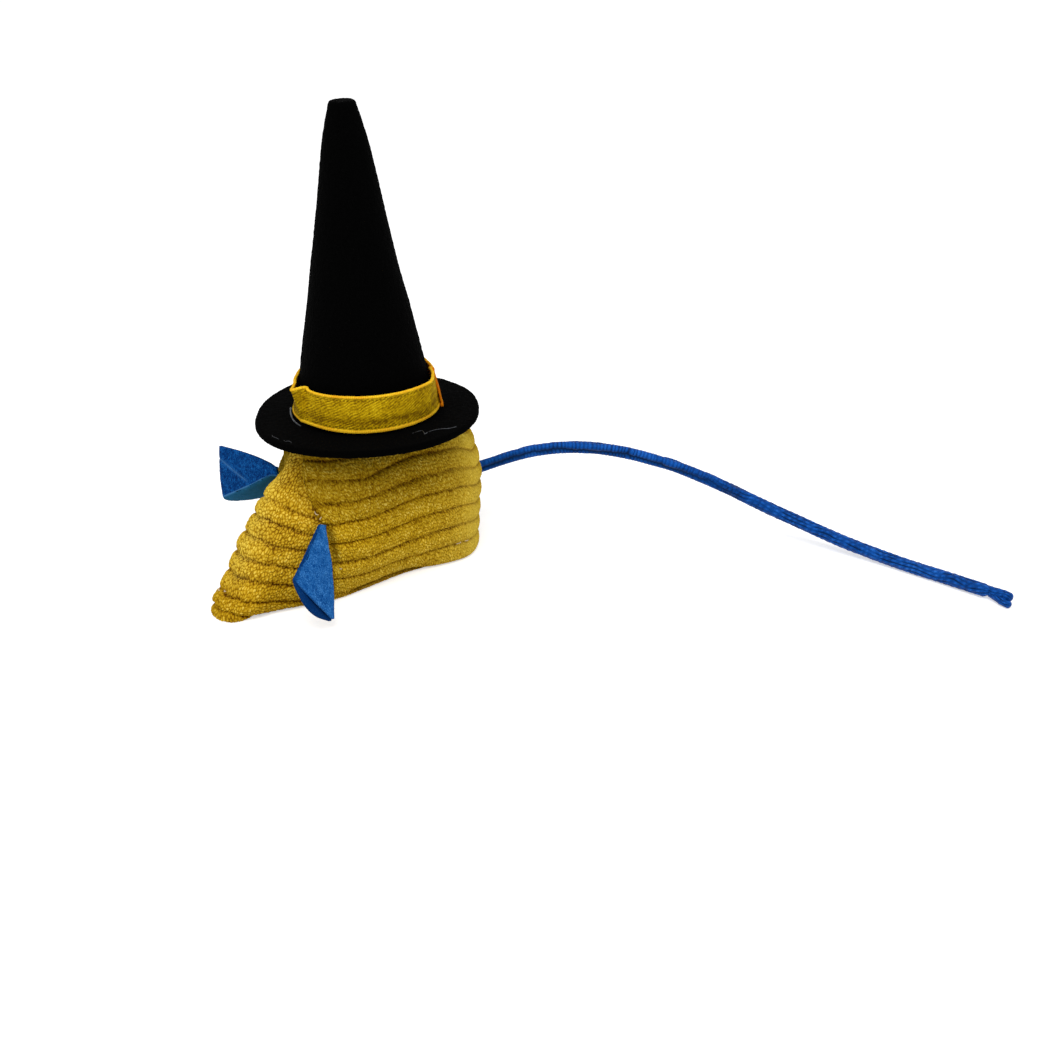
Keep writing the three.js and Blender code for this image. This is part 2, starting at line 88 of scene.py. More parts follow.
# %% [markdown]
# ## Tools of the workshop
# Cloth detail is too fine to model by hand, so each surface is a dense grid of points that numpy pushes
# in and out. A sculpted or simulated mesh would do too, but a formula puts each rib and stitch where the
# photograph has it. Three small tools do most of the work: a smooth noise, grids that become meshes, and
# a class that lets a material's maths be written as plain Python.

# %% Smooth noise, worked out from each place so that every run gives the same
MIX_FIRST, MIX_TURN, MIX_LAST = 0x9E3779B97F4A7C15, 0xBF58476D1CE4E5B9, 0x94D049BB133111EB


def chance(*cells):
    """A number from 0 to 1 for each cell of a lattice, the same on every run."""
    mixed = np.zeros(np.broadcast(*cells).shape, np.uint64)
    for place, cell in enumerate(cells):
        grown = np.asarray(cell).astype(np.int64).astype(np.uint64)
        mixed = (mixed ^ (grown + np.uint64(MIX_FIRST + 977 * place))) * np.uint64(MIX_TURN)
        mixed ^= mixed >> np.uint64(29)
    return ((mixed * np.uint64(MIX_LAST)) >> np.uint64(40)).astype(float) / 2**24


def ramp(low, high, value):
    """Rises smoothly from 0 at low to 1 at high."""
    share = np.clip((value - low) / (high - low), 0, 1)
    return share * share * (3 - 2 * share)


def bell(value, width):
    """1 where value is 0, fading to nothing at about twice this width."""
    return np.exp(-((value / width) ** 2))


def drift(points, size, seed=0):
    """Smooth noise from -1 to 1 over points of any dimension, with features as wide as size."""
    scaled = np.asarray(points, float) / size
    cell = np.floor(scaled).astype(np.int64)
    part = ramp(0, 1, scaled - cell)
    total = np.zeros(scaled.shape[:-1])
    for corner in np.ndindex(*(2,) * scaled.shape[-1]):
        weight = np.ones_like(total)
        for axis, step in enumerate(corner):
            weight = weight * (part[..., axis] if step else 1 - part[..., axis])
        total += weight * chance(*[cell[..., axis] + step for axis, step in enumerate(corner)], seed)
    return 2 * total - 1


# %% Curves
def hermite(start, end, slope, next_slope, share):
    """A point between start and end on the curve that leaves and arrives with these slopes."""
    rise = end - start
    bend = 3 * rise - 2 * slope - next_slope + share * (slope + next_slope - 2 * rise)
    return start + share * (slope + share * bend)


def run_length(points):
    """Length along a line of points, from 0 at its first one."""
    return np.concatenate([[0], np.cumsum(np.linalg.norm(np.diff(points, axis=0), axis=1))])


def smooth_route(points, step):
    """Points every step along a smooth curve through the given ones, and its length."""
    points = np.asarray(points, float)
    padded = np.concatenate([2 * points[:1] - points[1:2], points, 2 * points[-1:] - points[-2:-1]])
    share = np.linspace(0, 1, 60, endpoint=False)[:, None]
    parts = [
        hermite(start, end, (end - before) / 2, (after - start) / 2, share)
        for before, start, end, after in zip(padded, padded[1:], padded[2:], padded[3:])
    ]
    dense = np.concatenate([*parts, points[-1:]])
    length = run_length(dense)
    places = np.linspace(0, length[-1], max(int(round(length[-1] / step)) + 1, 8))
    return np.stack([np.interp(places, length, dense[:, axis]) for axis in range(3)], 1), length[-1]


def softened(values, reach, ends):
    """A row of values with its corners rounded over this many places to each side."""
    weights = np.hanning(2 * reach + 1)
    return np.convolve(np.pad(values, reach, ends), weights / weights.sum(), "valid")


# %% Faces between a grid's points
def quads(rows, columns, wrap=False, closed=False):
    """Faces between neighbouring points of a grid. wrap joins its sides, closed its rows."""
    numbers = np.arange(rows * columns).reshape(rows, columns)
    if wrap:
        numbers = np.concatenate([numbers, numbers[:, :1]], 1)
    if closed:
        numbers = np.concatenate([numbers, numbers[:1]])
    corners = [numbers[:-1, :-1], numbers[:-1, 1:], numbers[1:, 1:], numbers[1:, :-1]]
    return np.stack(corners, -1).reshape(-1, 4)


def ring_faces(rows, columns):
    """Faces of a stack of rings. Two more points, the last, close its ends with a fan each."""
    around = np.arange(columns)
    following = (around + 1) % columns
    first, top = rows * columns, (rows - 1) * columns
    caps = [np.stack([0 * around + first, around, following, following], 1)]
    caps.append(np.stack([0 * around + first + 1, top + following, top + around, top + around], 1))
    return np.concatenate([quads(rows, columns, wrap=True)[:, ::-1], *caps])


def sheet_faces(rows, columns):
    """Faces of a thick sheet: one side's grid of points, then the other's, and the cut edge."""
    numbers = np.arange(rows * columns).reshape(rows, columns)
    rim = np.concatenate([numbers[0, :-1], numbers[:-1, -1], numbers[-1, :0:-1], numbers[:0:-1, 0]])
    ahead, other = np.roll(rim, -1), rows * columns
    side = quads(rows, columns)
    wall = np.stack([rim, rim + other, ahead + other, ahead], 1)
    return np.concatenate([side, side[:, ::-1] + other, wall])


def normals_of(grid):
    """Unit normals of a grid of points, from its neighbours across and along."""
    normal = np.cross(np.gradient(grid, axis=1), np.gradient(grid, axis=0))
    return normal / np.maximum(np.linalg.norm(normal, axis=-1, keepdims=True), 1e-12)


# %% Points and faces that become pieces
def cloth_piece(name, points, faces, material, fields=None):
    """A smooth mesh object from points in mm. fields are vectors per point for the material."""
    points, faces = np.asarray(points, float).reshape(-1, 3) * MM, np.asarray(faces)
    mesh = bpy.data.meshes.new(name)
    mesh.vertices.add(len(points))
    mesh.vertices.foreach_set("co", points.ravel())
    mesh.loops.add(faces.size)
    mesh.loops.foreach_set("vertex_index", faces.ravel().astype(np.int32))
    mesh.polygons.add(len(faces))
    mesh.polygons.foreach_set("loop_start", np.arange(0, faces.size, faces.shape[1], dtype=np.int32))
    mesh.polygons.foreach_set("use_smooth", np.ones(len(faces), bool))
    mesh.update(calc_edges=True)
    for field, values in (fields or {}).items():
        layer = mesh.attributes.new(field, "FLOAT_VECTOR", "POINT")
        layer.data.foreach_set("vector", np.asarray(values, np.float32).reshape(-1, 3).ravel())
    mesh.materials.append(material)
    piece = bpy.data.objects.new(name, mesh)
    scene.collection.objects.link(piece)
    print("%s: %d points" % (name, len(points)))
    return piece


def fitted(piece, body, node=None):
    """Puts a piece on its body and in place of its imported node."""
    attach(piece, body)
    if node:
        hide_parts(node)
    return piece


# %% Shader maths as Python expressions
class Strand:
    """An output in a material's nodes. Arithmetic adds Math nodes, or Vector Math nodes for vectors."""

    def __init__(self, tree, output=None):
        self.tree, self.output = tree, output

    def node(self, kind, settings=None, inputs=None, output=0):
        """Adds any node: its settings first, then the values or links of its sockets. Gives one output."""
        made = self.tree.nodes.new(kind)
        for setting, value in (settings or {}).items():
            if setting == "stops":
                stops = made.color_ramp.elements
                for number, (place, colour) in enumerate(value):
                    stop = stops[number] if number < 2 else stops.new(place)
                    stop.position, stop.color = place, colour
            else:
                setattr(made, setting, value)
        for place, value in (inputs or {}).items():
            socket = made.inputs[place]
            if isinstance(value, Strand):
                self.tree.links.new(value.output, socket)
            elif socket.type == "VECTOR" and not isinstance(value, tuple):
                socket.default_value = (value, value, value)
            else:
                socket.default_value = value
        return Strand(self.tree, made.outputs[output] if made.outputs else None)

    def maths(self, operation, first, second=0.0):
        def is_vector(value):
            return isinstance(value, tuple) or isinstance(value, Strand) and value.output.type == "VECTOR"

        kind = "ShaderNodeVectorMath" if is_vector(first) or is_vector(second) else "ShaderNodeMath"
        return self.node(kind, {"operation": operation}, {0: first, 1: second})

    def __add__(self, other):
        return self.maths("ADD", self, other)

    def __radd__(self, other):
        return self.maths("ADD", other, self)

    def __sub__(self, other):
        return self.maths("SUBTRACT", self, other)

    def __rsub__(self, other):
        return self.maths("SUBTRACT", other, self)

    def __mul__(self, other):
        return self.maths("MULTIPLY", self, other)

    def __rmul__(self, other):
        return self.maths("MULTIPLY", other, self)

    def clamp(self):
        return self.node("ShaderNodeClamp", None, {"Value": self})

    def outputs(self, *names):
        """Other outputs of the node that this one comes from."""
        return [Strand(self.tree, self.output.node.outputs[name]) for name in names]

    def mix(self, first, second):
        """A colour that goes from the first to the second as this share goes from 0 to 1."""
        return self.node("ShaderNodeMix", {"data_type": "RGBA"}, {0: self, 6: first, 7: second}, 2)

    def through(self, *stops):
        """A colour from a ramp of (place, colour) stops in rising order."""
        return self.node("ShaderNodeValToRGB", {"stops": [stops[0], stops[-1], *stops[1:-1]]}, {0: self})

    def bump(self, strength, distance):
        return self.node("ShaderNodeBump", None, {"Strength": strength, "Distance": distance, "Height": self})

    def field(self, name):
        """The three numbers that the mesh carries at each point under this name."""
        vector = self.node("ShaderNodeAttribute", {"attribute_name": name}, output="Vector")
        return self.node("ShaderNodeSeparateXYZ", None, {0: vector}).outputs(0, 1, 2)

    def fibres(self, per_metre, detail=2.0, roughness=0.5, swirl=0.0, stretch=None):
        """Noise that stays on the piece, with about this many features in a metre."""
        place = self.node("ShaderNodeTexCoord", output="Object")
        if stretch:
            place = place * stretch
        return self.node("ShaderNodeTexNoise", None, {
            "Vector": place, "Scale": per_metre, "Detail": detail, "Roughness": roughness,
            "Distortion": swirl})

    def looked_at(self):
        """1 for what the camera sees, straight or in a mirror or glass, and 0 for light on other things."""
        seen, glossy, through = self.node("ShaderNodeLightPath").outputs(
            "Is Camera Ray", "Is Glossy Ray", "Is Transmission Ray")
        return (seen + glossy + through).clamp()


def tone(red, green, blue):
    """A colour as a screen shows it, 0 to 255, as the linear values that a shader takes."""
    shown = np.array([red, green, blue]) / 255
    linear = np.where(shown <= 0.04045, shown / 12.92, ((shown + 0.055) / 1.055) ** 2.4)
    return (*linear.tolist(), 1.0)


def new_finish(name):
    """An empty material, and the strand that its nodes are made from."""
    material = bpy.data.materials.new(name)
    material.use_nodes = True
    material.node_tree.nodes.clear()
    return material, Strand(material.node_tree)


def surface(maker, **sockets):
    """Ends a material: a Principled surface with these sockets, whose names have underscores for spaces."""
    named = {socket.replace("_", " "): value for socket, value in sockets.items()}
    shader = maker.node("ShaderNodeBsdfPrincipled", None, named)
    maker.node("ShaderNodeOutputMaterial", None, {"Surface": shader})


# %% [markdown]
# ## The tail
# The tail is a round knitted cord, 3.2 mm thick and 150 mm long with its folded end beyond that, sewn
# into the rear seam and stiff enough to stand in a wave before it lies down. Knitted cord shows wales,
# rows of V-shaped stitches along it, with a dark groove between them. A curve with a bevel would be
# smooth, so each ring of points gets its own radius.

# %% Route of the tail
TAIL_START = (0, 28.2, 14.3)
TAIL_ROUTE = [
    (1.1, 30.2, 14.9), (4.9, 35.2, 17.0), (9.0, 40.2, 19.1), (13.3, 45.0, 20.8), (17.7, 49.7, 21.7),
    (22.2, 54.2, 21.9), (26.9, 58.6, 21.5), (31.8, 62.7, 20.6), (36.8, 66.7, 19.2), (42.1, 70.5, 17.6),
    (47.6, 74.0, 15.5), (53.2, 77.3, 13.2), (59.1, 80.3, 10.8), (65.1, 83.1, 8.5), (71.2, 85.6, 6.6),
    (77.5, 87.7, 4.9), (84.0, 89.5, 3.5), (90.5, 91.0, 2.6), (97.0, 92.2, 2.0), (103.7, 93.0, 1.8),
    (110.3, 93.8, 1.8), (117.0, 94.3, 1.9), (123.6, 94.8, 2.0),
]
CORD_RADIUS = 1.6
RING_STEP = 0.14

tail_line, tail_length = smooth_route([TAIL_START, *TAIL_ROUTE], RING_STEP)
print("tail: %.1f mm long" % tail_length)


# %% Knitted relief of the cord
LADDER_WALES, LADDER_TURN = 3, math.radians(98)
PLAIT_WALES, PLAIT_STITCH = 10, 1.9


def ladder_stitch(angle, along):
    """Broad wales with cross bars about every millimetre: height in mm, stitch and groove."""
    line = along[..., None]
    sway = 0.3 * drift(line, 6, 3) + 0.16 * drift(line, 1.9, 4) + 0.08 * drift(line, 0.7, 17)
    wale = (angle + sway - LADDER_TURN) / (2 * np.pi / LADDER_WALES)
    across = wale - np.floor(wale)
    facing = np.round(wale) == 0
    wide = np.where(facing, 0.24, 0.12) + 0.07 * drift(line, 3.0, 12)
    groove = bell(np.minimum(across, 1 - across), wide)
    uneven = along + 0.4 * drift(line, 1.7, 8) + 0.15 * drift(np.stack([along, wale * 2], -1), 1.1, 9)
    beat = uneven + 0.4 * np.abs(across - 0.5) + np.floor(wale) % 2 / 2
    bar = 1 - bell(beat - np.round(beat), 0.2) * (0.75 + 0.25 * drift(line, 2.3, 18))
    clear = 0.25 + 0.55 * ramp(9, 24, along) + 0.2 * drift(line, 5, 13)
    bar = 0.62 + (bar - 0.62) * clear
    height = 0.1 * bar * np.sin(np.pi * across) ** 0.5 - 0.5 * groove - 0.1 * (2 * across - 1) ** 2
    return height, bar, groove


def plait_stitch(angle, along):
    """Slim wales that sway against each other, with creases that open and close along the cord."""
    line = along[..., None]
    around = np.stack([1.3 * np.cos(angle), 1.3 * np.sin(angle), 0.5 * along], -1)
    column = angle * PLAIT_WALES / (2 * np.pi) + 0.5 * drift(line, 5.0, 5) + 0.22 * drift(around, 1.1, 16)
    border = np.round(column)
    near = column - border
    opening = ramp(-0.45, 0.5, drift(np.stack([3.7 * (border % PLAIT_WALES), along], -1), 1.9, 10))
    slit = bell(near, 0.13) * opening
    lane = np.floor(column)
    middle = 1 - (2 * (column - lane) - 1) ** 2
    beat = (along + 0.5 * drift(line, 2.1, 19)) / PLAIT_STITCH + chance(lane % PLAIT_WALES, 21)
    ply = 0.5 + 0.5 * middle * np.cos(2 * np.pi * beat + 1.2 * (column - lane))
    seam = bell(near, 0.24)
    height = 0.1 * ply - 0.08 * seam - 0.28 * slit + 0.02
    return height, 0.3 + 0.6 * ply * (1 - 0.5 * seam), np.clip(slit + 0.3 * seam, 0, 1)


def stitched(angle, along, share):
    """The cord's relief: the ladder near the body turns into the plait towards the tip."""
    angle, along, share = np.broadcast_arrays(angle, along, share)
    change = ramp(0.38, 0.62, share)
    parts = zip(ladder_stitch(angle, along), plait_stitch(angle, along))
    height, stitch, groove = [near + (far - near) * change for near, far in parts]
    # Painted shade: the stitches are darker from near the root to past the tail's middle.
    stitch = stitch - 0.24 * (1 - ramp(0.48, 0.7, share)) * ramp(0.02, 0.12, share)
    spots = np.stack([np.cos(angle) * CORD_RADIUS, np.sin(angle) * CORD_RADIUS, along], -1)
    return height + 0.04 * drift(spots, 0.3, 7), np.stack([stitch, groove, share], -1)


# %% Tubes of cord
def cord_tube(line, radius, share=None, turn=0.0, sides=56):
    """Rings round a line of points, closed at both ends, with the knitted relief on them."""
    tangent = np.gradient(line, axis=0)
    tangent /= np.linalg.norm(tangent, axis=1, keepdims=True)
    beside = np.cross(tangent, (0, 0, 1))
    beside /= np.linalg.norm(beside, axis=1, keepdims=True)
    upward = np.cross(beside, tangent)
    angle = np.linspace(0, 2 * np.pi, sides, endpoint=False)[None]
    along = run_length(line)[:, None]
    share = along / along[-1] if share is None else share[:, None]
    height, stitch = stitched(angle + turn, along, share)
    reach = (radius[:, None] * (1 + height / CORD_RADIUS))[..., None]
    out = np.cos(angle)[..., None] * upward[:, None] + np.sin(angle)[..., None] * beside[:, None]
    points = np.concatenate([(line[:, None] + out * reach).reshape(-1, 3), line[:1], line[-1:]])
    fields = np.concatenate([stitch.reshape(-1, 3), stitch[0, :1], stitch[-1, :1]])
    return points, ring_faces(len(line), sides), fields


def rounded(length, count, radius, start, end):
    """Radius along a cord whose ends are rounded over these distances."""
    place = np.linspace(0, length, count)
    from_start = np.clip(place / start, 0, 1)
    from_end = np.clip((length - place) / end, 0, 1)
    return radius * np.sqrt(1 - (1 - from_start) ** 2 + 1e-4) * np.sqrt(1 - (1 - from_end) ** 2 + 1e-4)


def joined(tubes):
    """Points, faces and fields of several tubes as those of one piece."""
    starts = np.cumsum([0] + [len(tube[0]) for tube in tubes[:-1]])
    points, faces, fields = zip(*tubes)
    faces = [part + at for part, at in zip(faces, starts)]
    return np.concatenate(points), np.concatenate(faces), np.concatenate(fields)


# %% [markdown]
# The yarn is a strong blue with a soft sheen. The grooves between its stitches are painted almost black, a
# painted shade. An image of knitting would slide on such a thin tube, so the mesh hands the finish its own
# stitch and groove at each point, and noise adds the strands.

# %% Finish of the cord
cord_finish, maker = new_finish("blue_knitted_cord")
bar, groove, _ = maker.field("stitch")
strands = maker.fibres(5200.0, 3.0)
patches = maker.fibres(240.0)
light = (0.12 + 0.6 * bar + 0.9 * (strands - 0.5) + 0.7 * (patches - 0.5)).clamp()
yarn = light.through((0.0, tone(0, 20, 66)), (0.5, tone(10, 74, 158)), (1.0, tone(50, 120, 214)))
# Painted shade: the grooves are mixed towards near black.
surface(
    maker, Base_Color=(groove * 0.9).clamp().mix(yarn, tone(0, 10, 34)), Roughness=0.5,
    Specular_IOR_Level=0.35, Specular_Tint=tone(90, 160, 255), Normal=strands.bump(0.35, 0.0001),
)
print("cord finish: %d nodes" % len(maker.tree.nodes))


# %% The cord, its folded end, the stub in the seam and the knot inside
UPPER_END = [
    (119.6, 94.8, 1.95), (124.4, 95.2, 2.1), (126.8, 95.5, 2.15), (128.1, 95.4, 2.1), (129.2, 95.2, 1.9)]
LOWER_END = [
    (122.8, 94.8, 1.6), (124.8, 94.6, 1.5), (126.3, 94.2, 1.3), (128.1, 93.85, 1.1), (129.9, 93.9, 1.0)]
STUB = [(0, 26.9, 14.1), TAIL_START, (0.5, 29.3, 14.6)]
KNOT_LEAD = [(0, 26.2, 14.3), (0, 25.4, 14.3)]
KNOT_MIDDLE, KNOT_LOOP = (0, 21.9, 14.3), 0.55


def lobe(route, radius, start, end, turn):
    """One half of the folded end. Its stitches are those of the cord's far end."""
    line, length = smooth_route(route, 0.1)
    return cord_tube(line, rounded(length, len(line), radius, start, end), np.ones(len(line)), turn)


def knitted(name, tubes, body, node):
    """A piece of the cord from one or more tubes."""
    points, faces, fields = joined(tubes)
    return fitted(cloth_piece(name, points, faces, cord_finish, {"stitch": fields}), body, node)


tail_radius = rounded(tail_length, len(tail_line), CORD_RADIUS, 0.8, 2.2)
tail = knitted("tail_cord_knitted", [cord_tube(tail_line, tail_radius)], "tail", "tail_cord")
lobes = [lobe(UPPER_END, 1.2, 1.0, 1.1, 0.4), lobe(LOWER_END, 0.92, 1.6, 0.9, 2.1)]
folded_end = knitted("tail_folded_end", lobes, "tail", "tail_tip")

stub_line, stub_length = smooth_route(STUB, 0.1)
stub = cord_tube(stub_line, rounded(stub_length, len(stub_line), CORD_RADIUS, 0.9, 0.9))
knitted("tail_root_knitted", [stub], "tail_joint", "tail_root")

turns = np.linspace(0, 2 * np.pi, 9)[1:]
knot_route = np.stack([
    KNOT_LOOP * (np.sin(turns) + 2 * np.sin(2 * turns)), np.sin(3 * turns),
    KNOT_LOOP * (np.cos(turns) - 2 * np.cos(2 * turns)),
], 1) + KNOT_MIDDLE
knot_line, knot_length = smooth_route([*KNOT_LEAD, *knot_route], 0.12)
knot = cord_tube(knot_line, rounded(knot_length, len(knot_line), 1.1, 0.9, 0.9))
knitted("tail_knot_inside", [knot], "body", "tail_knot")

# %% [markdown]
# ## The corduroy body
# The body is a bag of jumbo corduroy: a face panel that runs up from the nose, two side panels sewn to it
# at the front corners and to each other at the rear, and a base. It could be a cushion from a cloth
# simulation, but the ribs and the sewn corners are what one sees, so the form is lofted through level
# outlines, and every point of the cloth knows which rib it lies on. Pushing points by rib, by seam and by
# tuft then gives real relief.

# %% Form of the stuffed body: outlines at twelve heights
HEIGHT, NOSE, REAR, HALF = 39.3, 49.0, 28.2, 18.0
MUZZLE, SEAM_HALF, SEAM_PLACE = 5.4, 14.3, 22.5
AROUND, FRONT_SEAM, REAR_SEAM = 16, 3, 8
# Each row has the height's share and then the shares of nose, muzzle, seam's width and depth, shoulder,
# flank, corner's width and depth, and rear.
LEVELS = np.array([
    (0.0, 0.975, 0.87, 0.965, 0.98, 0.79, 0.805, 0.955, 0.66, 0.98),
    (0.076, 0.98, 1.0, 0.985, 0.995, 0.85, 0.87, 0.982, 0.67, 0.995),
    (0.216, 0.902, 0.96, 0.975, 1.02, 0.915, 0.94, 1.005, 0.68, 1.0),
    (0.394, 0.803, 0.91, 0.92, 1.055, 0.935, 0.955, 1.015, 0.69, 1.015),
    (0.522, 0.722, 0.85, 0.79, 1.05, 0.905, 0.94, 1.01, 0.695, 1.015),
    (0.6, 0.685, 0.75, 0.67, 1.05, 0.9, 0.93, 1.0, 0.69, 1.01),
    (0.687, 0.637, 0.55, 0.48, 1.04, 0.885, 0.911, 0.985, 0.69, 1.01),
    (0.75, 0.585, 0.38, 0.34, 1.02, 0.855, 0.885, 0.955, 0.68, 1.0),
    (0.8, 0.53, 0.3, 0.26, 1.01, 0.82, 0.85, 0.922, 0.67, 0.98),
    (0.9, 0.475, 0.25, 0.2, 0.96, 0.69, 0.733, 0.805, 0.65, 0.935),
    (0.967, 0.44, 0.24, 0.19, 0.9, 0.556, 0.61, 0.667, 0.6, 0.86),
    (1.0, 0.42, 0.24, 0.19, 0.86, 0.444, 0.5, 0.522, 0.5, 0.74),
])


def level_at(height):
    """The nine shares of the outline at each height, smooth between the rows."""
    share = np.clip(height / HEIGHT, 0, 1)
    row = np.clip(np.searchsorted(LEVELS[:, 0], share, side="right") - 1, 0, len(LEVELS) - 2)
    below = np.maximum(np.arange(len(LEVELS)) - 1, 0)
    above = np.minimum(np.arange(len(LEVELS)) + 1, len(LEVELS) - 1)
    slope = (LEVELS[above] - LEVELS[below]) / (LEVELS[above, 0] - LEVELS[below, 0])[:, None]
    width = LEVELS[row + 1, 0] - LEVELS[row, 0]
    part, width = ((share - LEVELS[row, 0]) / width)[..., None], width[..., None]
    return hermite(LEVELS[row], LEVELS[row + 1], slope[row] * width, slope[row + 1] * width, part)[..., 1:]


def outline_at(height):
    """Sixteen points round the body at each height: nose, left side, rear, right side."""
    nose, muzzle, seam_out, seam_back, shoulder, flank, corner, corner_back, rear = np.moveaxis(
        level_at(height), -1, 0)
    front = (MUZZLE * muzzle, -NOSE * nose + NOSE * 0.045)
    seam = (SEAM_HALF * seam_out, -SEAM_PLACE * seam_back)
    cheek = tuple(a + (b - a) * 0.47 for a, b in zip(front, seam))
    zero = 0 * nose
    side = [
        front, cheek, seam, (HALF * shoulder, zero - SEAM_PLACE * 0.6), (HALF * flank, zero),
        (HALF * corner, REAR * corner_back), (HALF * corner * 0.65, REAR * rear * 0.97),
    ]
    ring = [(zero, -NOSE * nose), *side, (zero, REAR * rear), *[(-x, y) for x, y in side[::-1]]]
    return np.stack([np.stack(point, -1) for point in ring], -2)


def form(place, height):
    """A point of the body's form. place is 0 at the nose, 3 at the left seam, 8 at the rear seam."""
    place, height = np.broadcast_arrays(np.asarray(place, float), np.asarray(height, float))
    ring = outline_at(height)
    first = np.floor(place).astype(int)
    share = (place - first)[..., None]

    def corner(step):
        number = ((first + step) % AROUND)[..., None, None].repeat(2, -1)
        return np.take_along_axis(ring, number, -2)[..., 0, :]

    before, start, end, after = (corner(step) for step in (-1, 0, 1, 2))
    gaps = [np.maximum(np.linalg.norm(b - a, axis=-1, keepdims=True), 1e-8) ** 0.5
            for a, b in ((before, start), (start, end), (end, after))]
    rise = (end - start) / gaps[1]
    slope = ((start - before) / gaps[0] - (end - before) / (gaps[0] + gaps[1]) + rise) * gaps[1]
    next_slope = (rise - (after - start) / (gaps[1] + gaps[2]) + (after - end) / gaps[2]) * gaps[1]
    return np.concatenate([hermite(start, end, slope, next_slope, share), height[..., None]], -1)


def from_nose(place):
    """Places away from the nose, counted alike on both sides."""
    return np.minimum(place % AROUND, AROUND - place % AROUND)


print("form at the left seam:", np.round(form(FRONT_SEAM, 20.0), 1))


# %% Pile: tufts in staggered cells, each a small uneven cone with a crevice round it
def tufts(along, across, width, length, seed):
    """Height of the pile from 0 in a crevice to 1 on a tuft, and a chance value of each tuft."""
    x, y = along / width, across / length
    column, row = np.floor(x).astype(np.int64), np.floor(y).astype(np.int64)
    nearest = np.full(x.shape, 9.0)
    second = np.full(x.shape, 9.0)
    picked = np.zeros(x.shape)
    for i in (-1, 0, 1, 2):
        for j in (-1, 0, 1):
            c, r = column + i, row + j
            shift = 0.5 * (r % 2) - 0.5
            away = (x - c - 0.5 - shift - 0.85 * (chance(c, r, seed) - 0.5)) ** 2
            away = away + (y - r - 0.5 - 0.85 * (chance(c, r, seed + 1) - 0.5)) ** 2
            closer = away < nearest
            second = np.where(closer, nearest, np.minimum(second, away))
            picked = np.where(closer, chance(c, r, seed + 2), picked)
            nearest = np.where(closer, away, nearest)
    peak = np.clip(1 - 1.25 * np.sqrt(nearest), 0, 1)
    gap = ramp(0, 0.42, np.sqrt(second) - np.sqrt(nearest))
    return (0.35 * peak + 0.65 * gap) * (0.84 + 0.3 * picked), picked


# %% Ribs: where each panel's grooves run
RIB_PLACES = (3.0, 3.5, 4.1, 4.8, 5.3, 5.75, 6.2, 6.8, 8.0)
LOWEST_GROOVE = (6.2, 5.9, 5.4, 5.4, 5.3, 5.4, 4.4, 4.1, 4.3)
GROOVE_PITCH = (4.75, 4.85, 5.15, 5.3, 5.4, 5.25, 4.9, 4.8, 4.8)
SIDE_PITCH, FACE_PITCH, BASE_PITCH = 5.1, 4.02, 5.3


def side_ribs(place, height):
    """Rib coordinate of a side panel. The grooves drop at the rear corner."""
    lowest = np.interp(from_nose(place), RIB_PLACES, LOWEST_GROOVE)
    return (height - lowest) / np.interp(from_nose(place), RIB_PLACES, GROOVE_PITCH) + 3, SIDE_PITCH


def face_ribs(place, height):
    """Rib coordinate of the face. The grooves cross the ridge level and drop towards both seams."""
    out = np.clip((from_nose(place) - 0.7) / 2.3, 0, 1)
    drop = (6.4 - 0.1 * np.clip(height, 0, 30)) * out
    return (height + drop - 2.4) / FACE_PITCH, FACE_PITCH


def rib_relief(rib, pitch, depth=0.75):
    """Height against the rib's crown in mm, and the roundness from 0 in the groove to 1 on the crown."""
    phase = rib - np.floor(rib)
    round_part = np.sin(np.pi * phase) ** 0.5
    slit = bell(np.minimum(phase, 1 - phase) * pitch, 0.34)
    return -depth * (1 - round_part) - 0.33 * slit, round_part * (1 - 0.8 * slit)


# %% [markdown]
# Stuffing doesn't fill a sewn bag evenly. The seams pull in and pucker, the nose is thin, the foot rolls
# under and the rear corners are soft. Each of these is a few tenths of a millimetre to two millimetres,
# given by where it is round the body and how high, so each has its own small function.

# %% Where the cloth is drawn in
FOOT_PLACES = (0, 0.8, 1.3, 1.8, 2.6, 4.2, 5.0, 5.4, 5.8, 6.5, 7.2, 8)
FOOT_PUSH = (0.3, 0.5, 0.0, -1.1, -1.2, -1.4, -1.3, 0.2, 0.7, 0.2, 0.2, 0)
FOOT_FADE = (3, 3, 5, 9, 9, 9, 9, 6, 4, 4, 4, 4)
NOSE_HEIGHTS = (0, 1.5, 4, 7, 11, 16, 26, 32)
NOSE_DRAW = (0, 1.4, 1.8, 2.0, 1.4, 0.7, 0.3, 0.2)
SEAM_DIP, SEAM_SPREAD, CURL = 0.9, 1.4, 1.3
CORNER_PLACE, EAR_PLACE = 6.7, 3.19


def rear_corner(place):
    return bell(from_nose(place) - CORNER_PLACE, 0.8)


def beside_ear(place, height):
    """The dent behind the left ear's root, which also carries a painted shadow."""
    return bell(place - EAR_PLACE, 0.09) * ramp(9, 14, height) * (1 - ramp(19, 21.5, height))


def drawn(place, height):
    """How far the cloth lies outside the form, in mm, at the foot, nose, top, corners and ear."""
    away = from_nose(place)
    foot = np.interp(away, FOOT_PLACES, FOOT_PUSH)
    foot = foot * (1 - ramp(0, np.interp(away, FOOT_PLACES, FOOT_FADE), height))
    nose = np.interp(height, NOSE_HEIGHTS, NOSE_DRAW) * (1 - ramp(0.3, 1.8, away))
    top = 0.4 * ramp(26, 34, height) * bell(away - FRONT_SEAM, 1)
    corner = (0.35 + 0.9 * ramp(22, 32, height)) * rear_corner(place)
    return foot - nose - top - corner - 0.45 * beside_ear(place, height)


def seam_distance(ground, heights):
    """Distance of each point from the nearest upright seam."""
    near = np.full(ground.shape[:2], np.inf)
    for seam in (FRONT_SEAM, REAR_SEAM, AROUND - FRONT_SEAM):
        stitched_at = form(np.full(heights.shape, float(seam)), heights)[:, None]
        near = np.minimum(near, np.linalg.norm(ground - stitched_at, axis=-1))
    return near


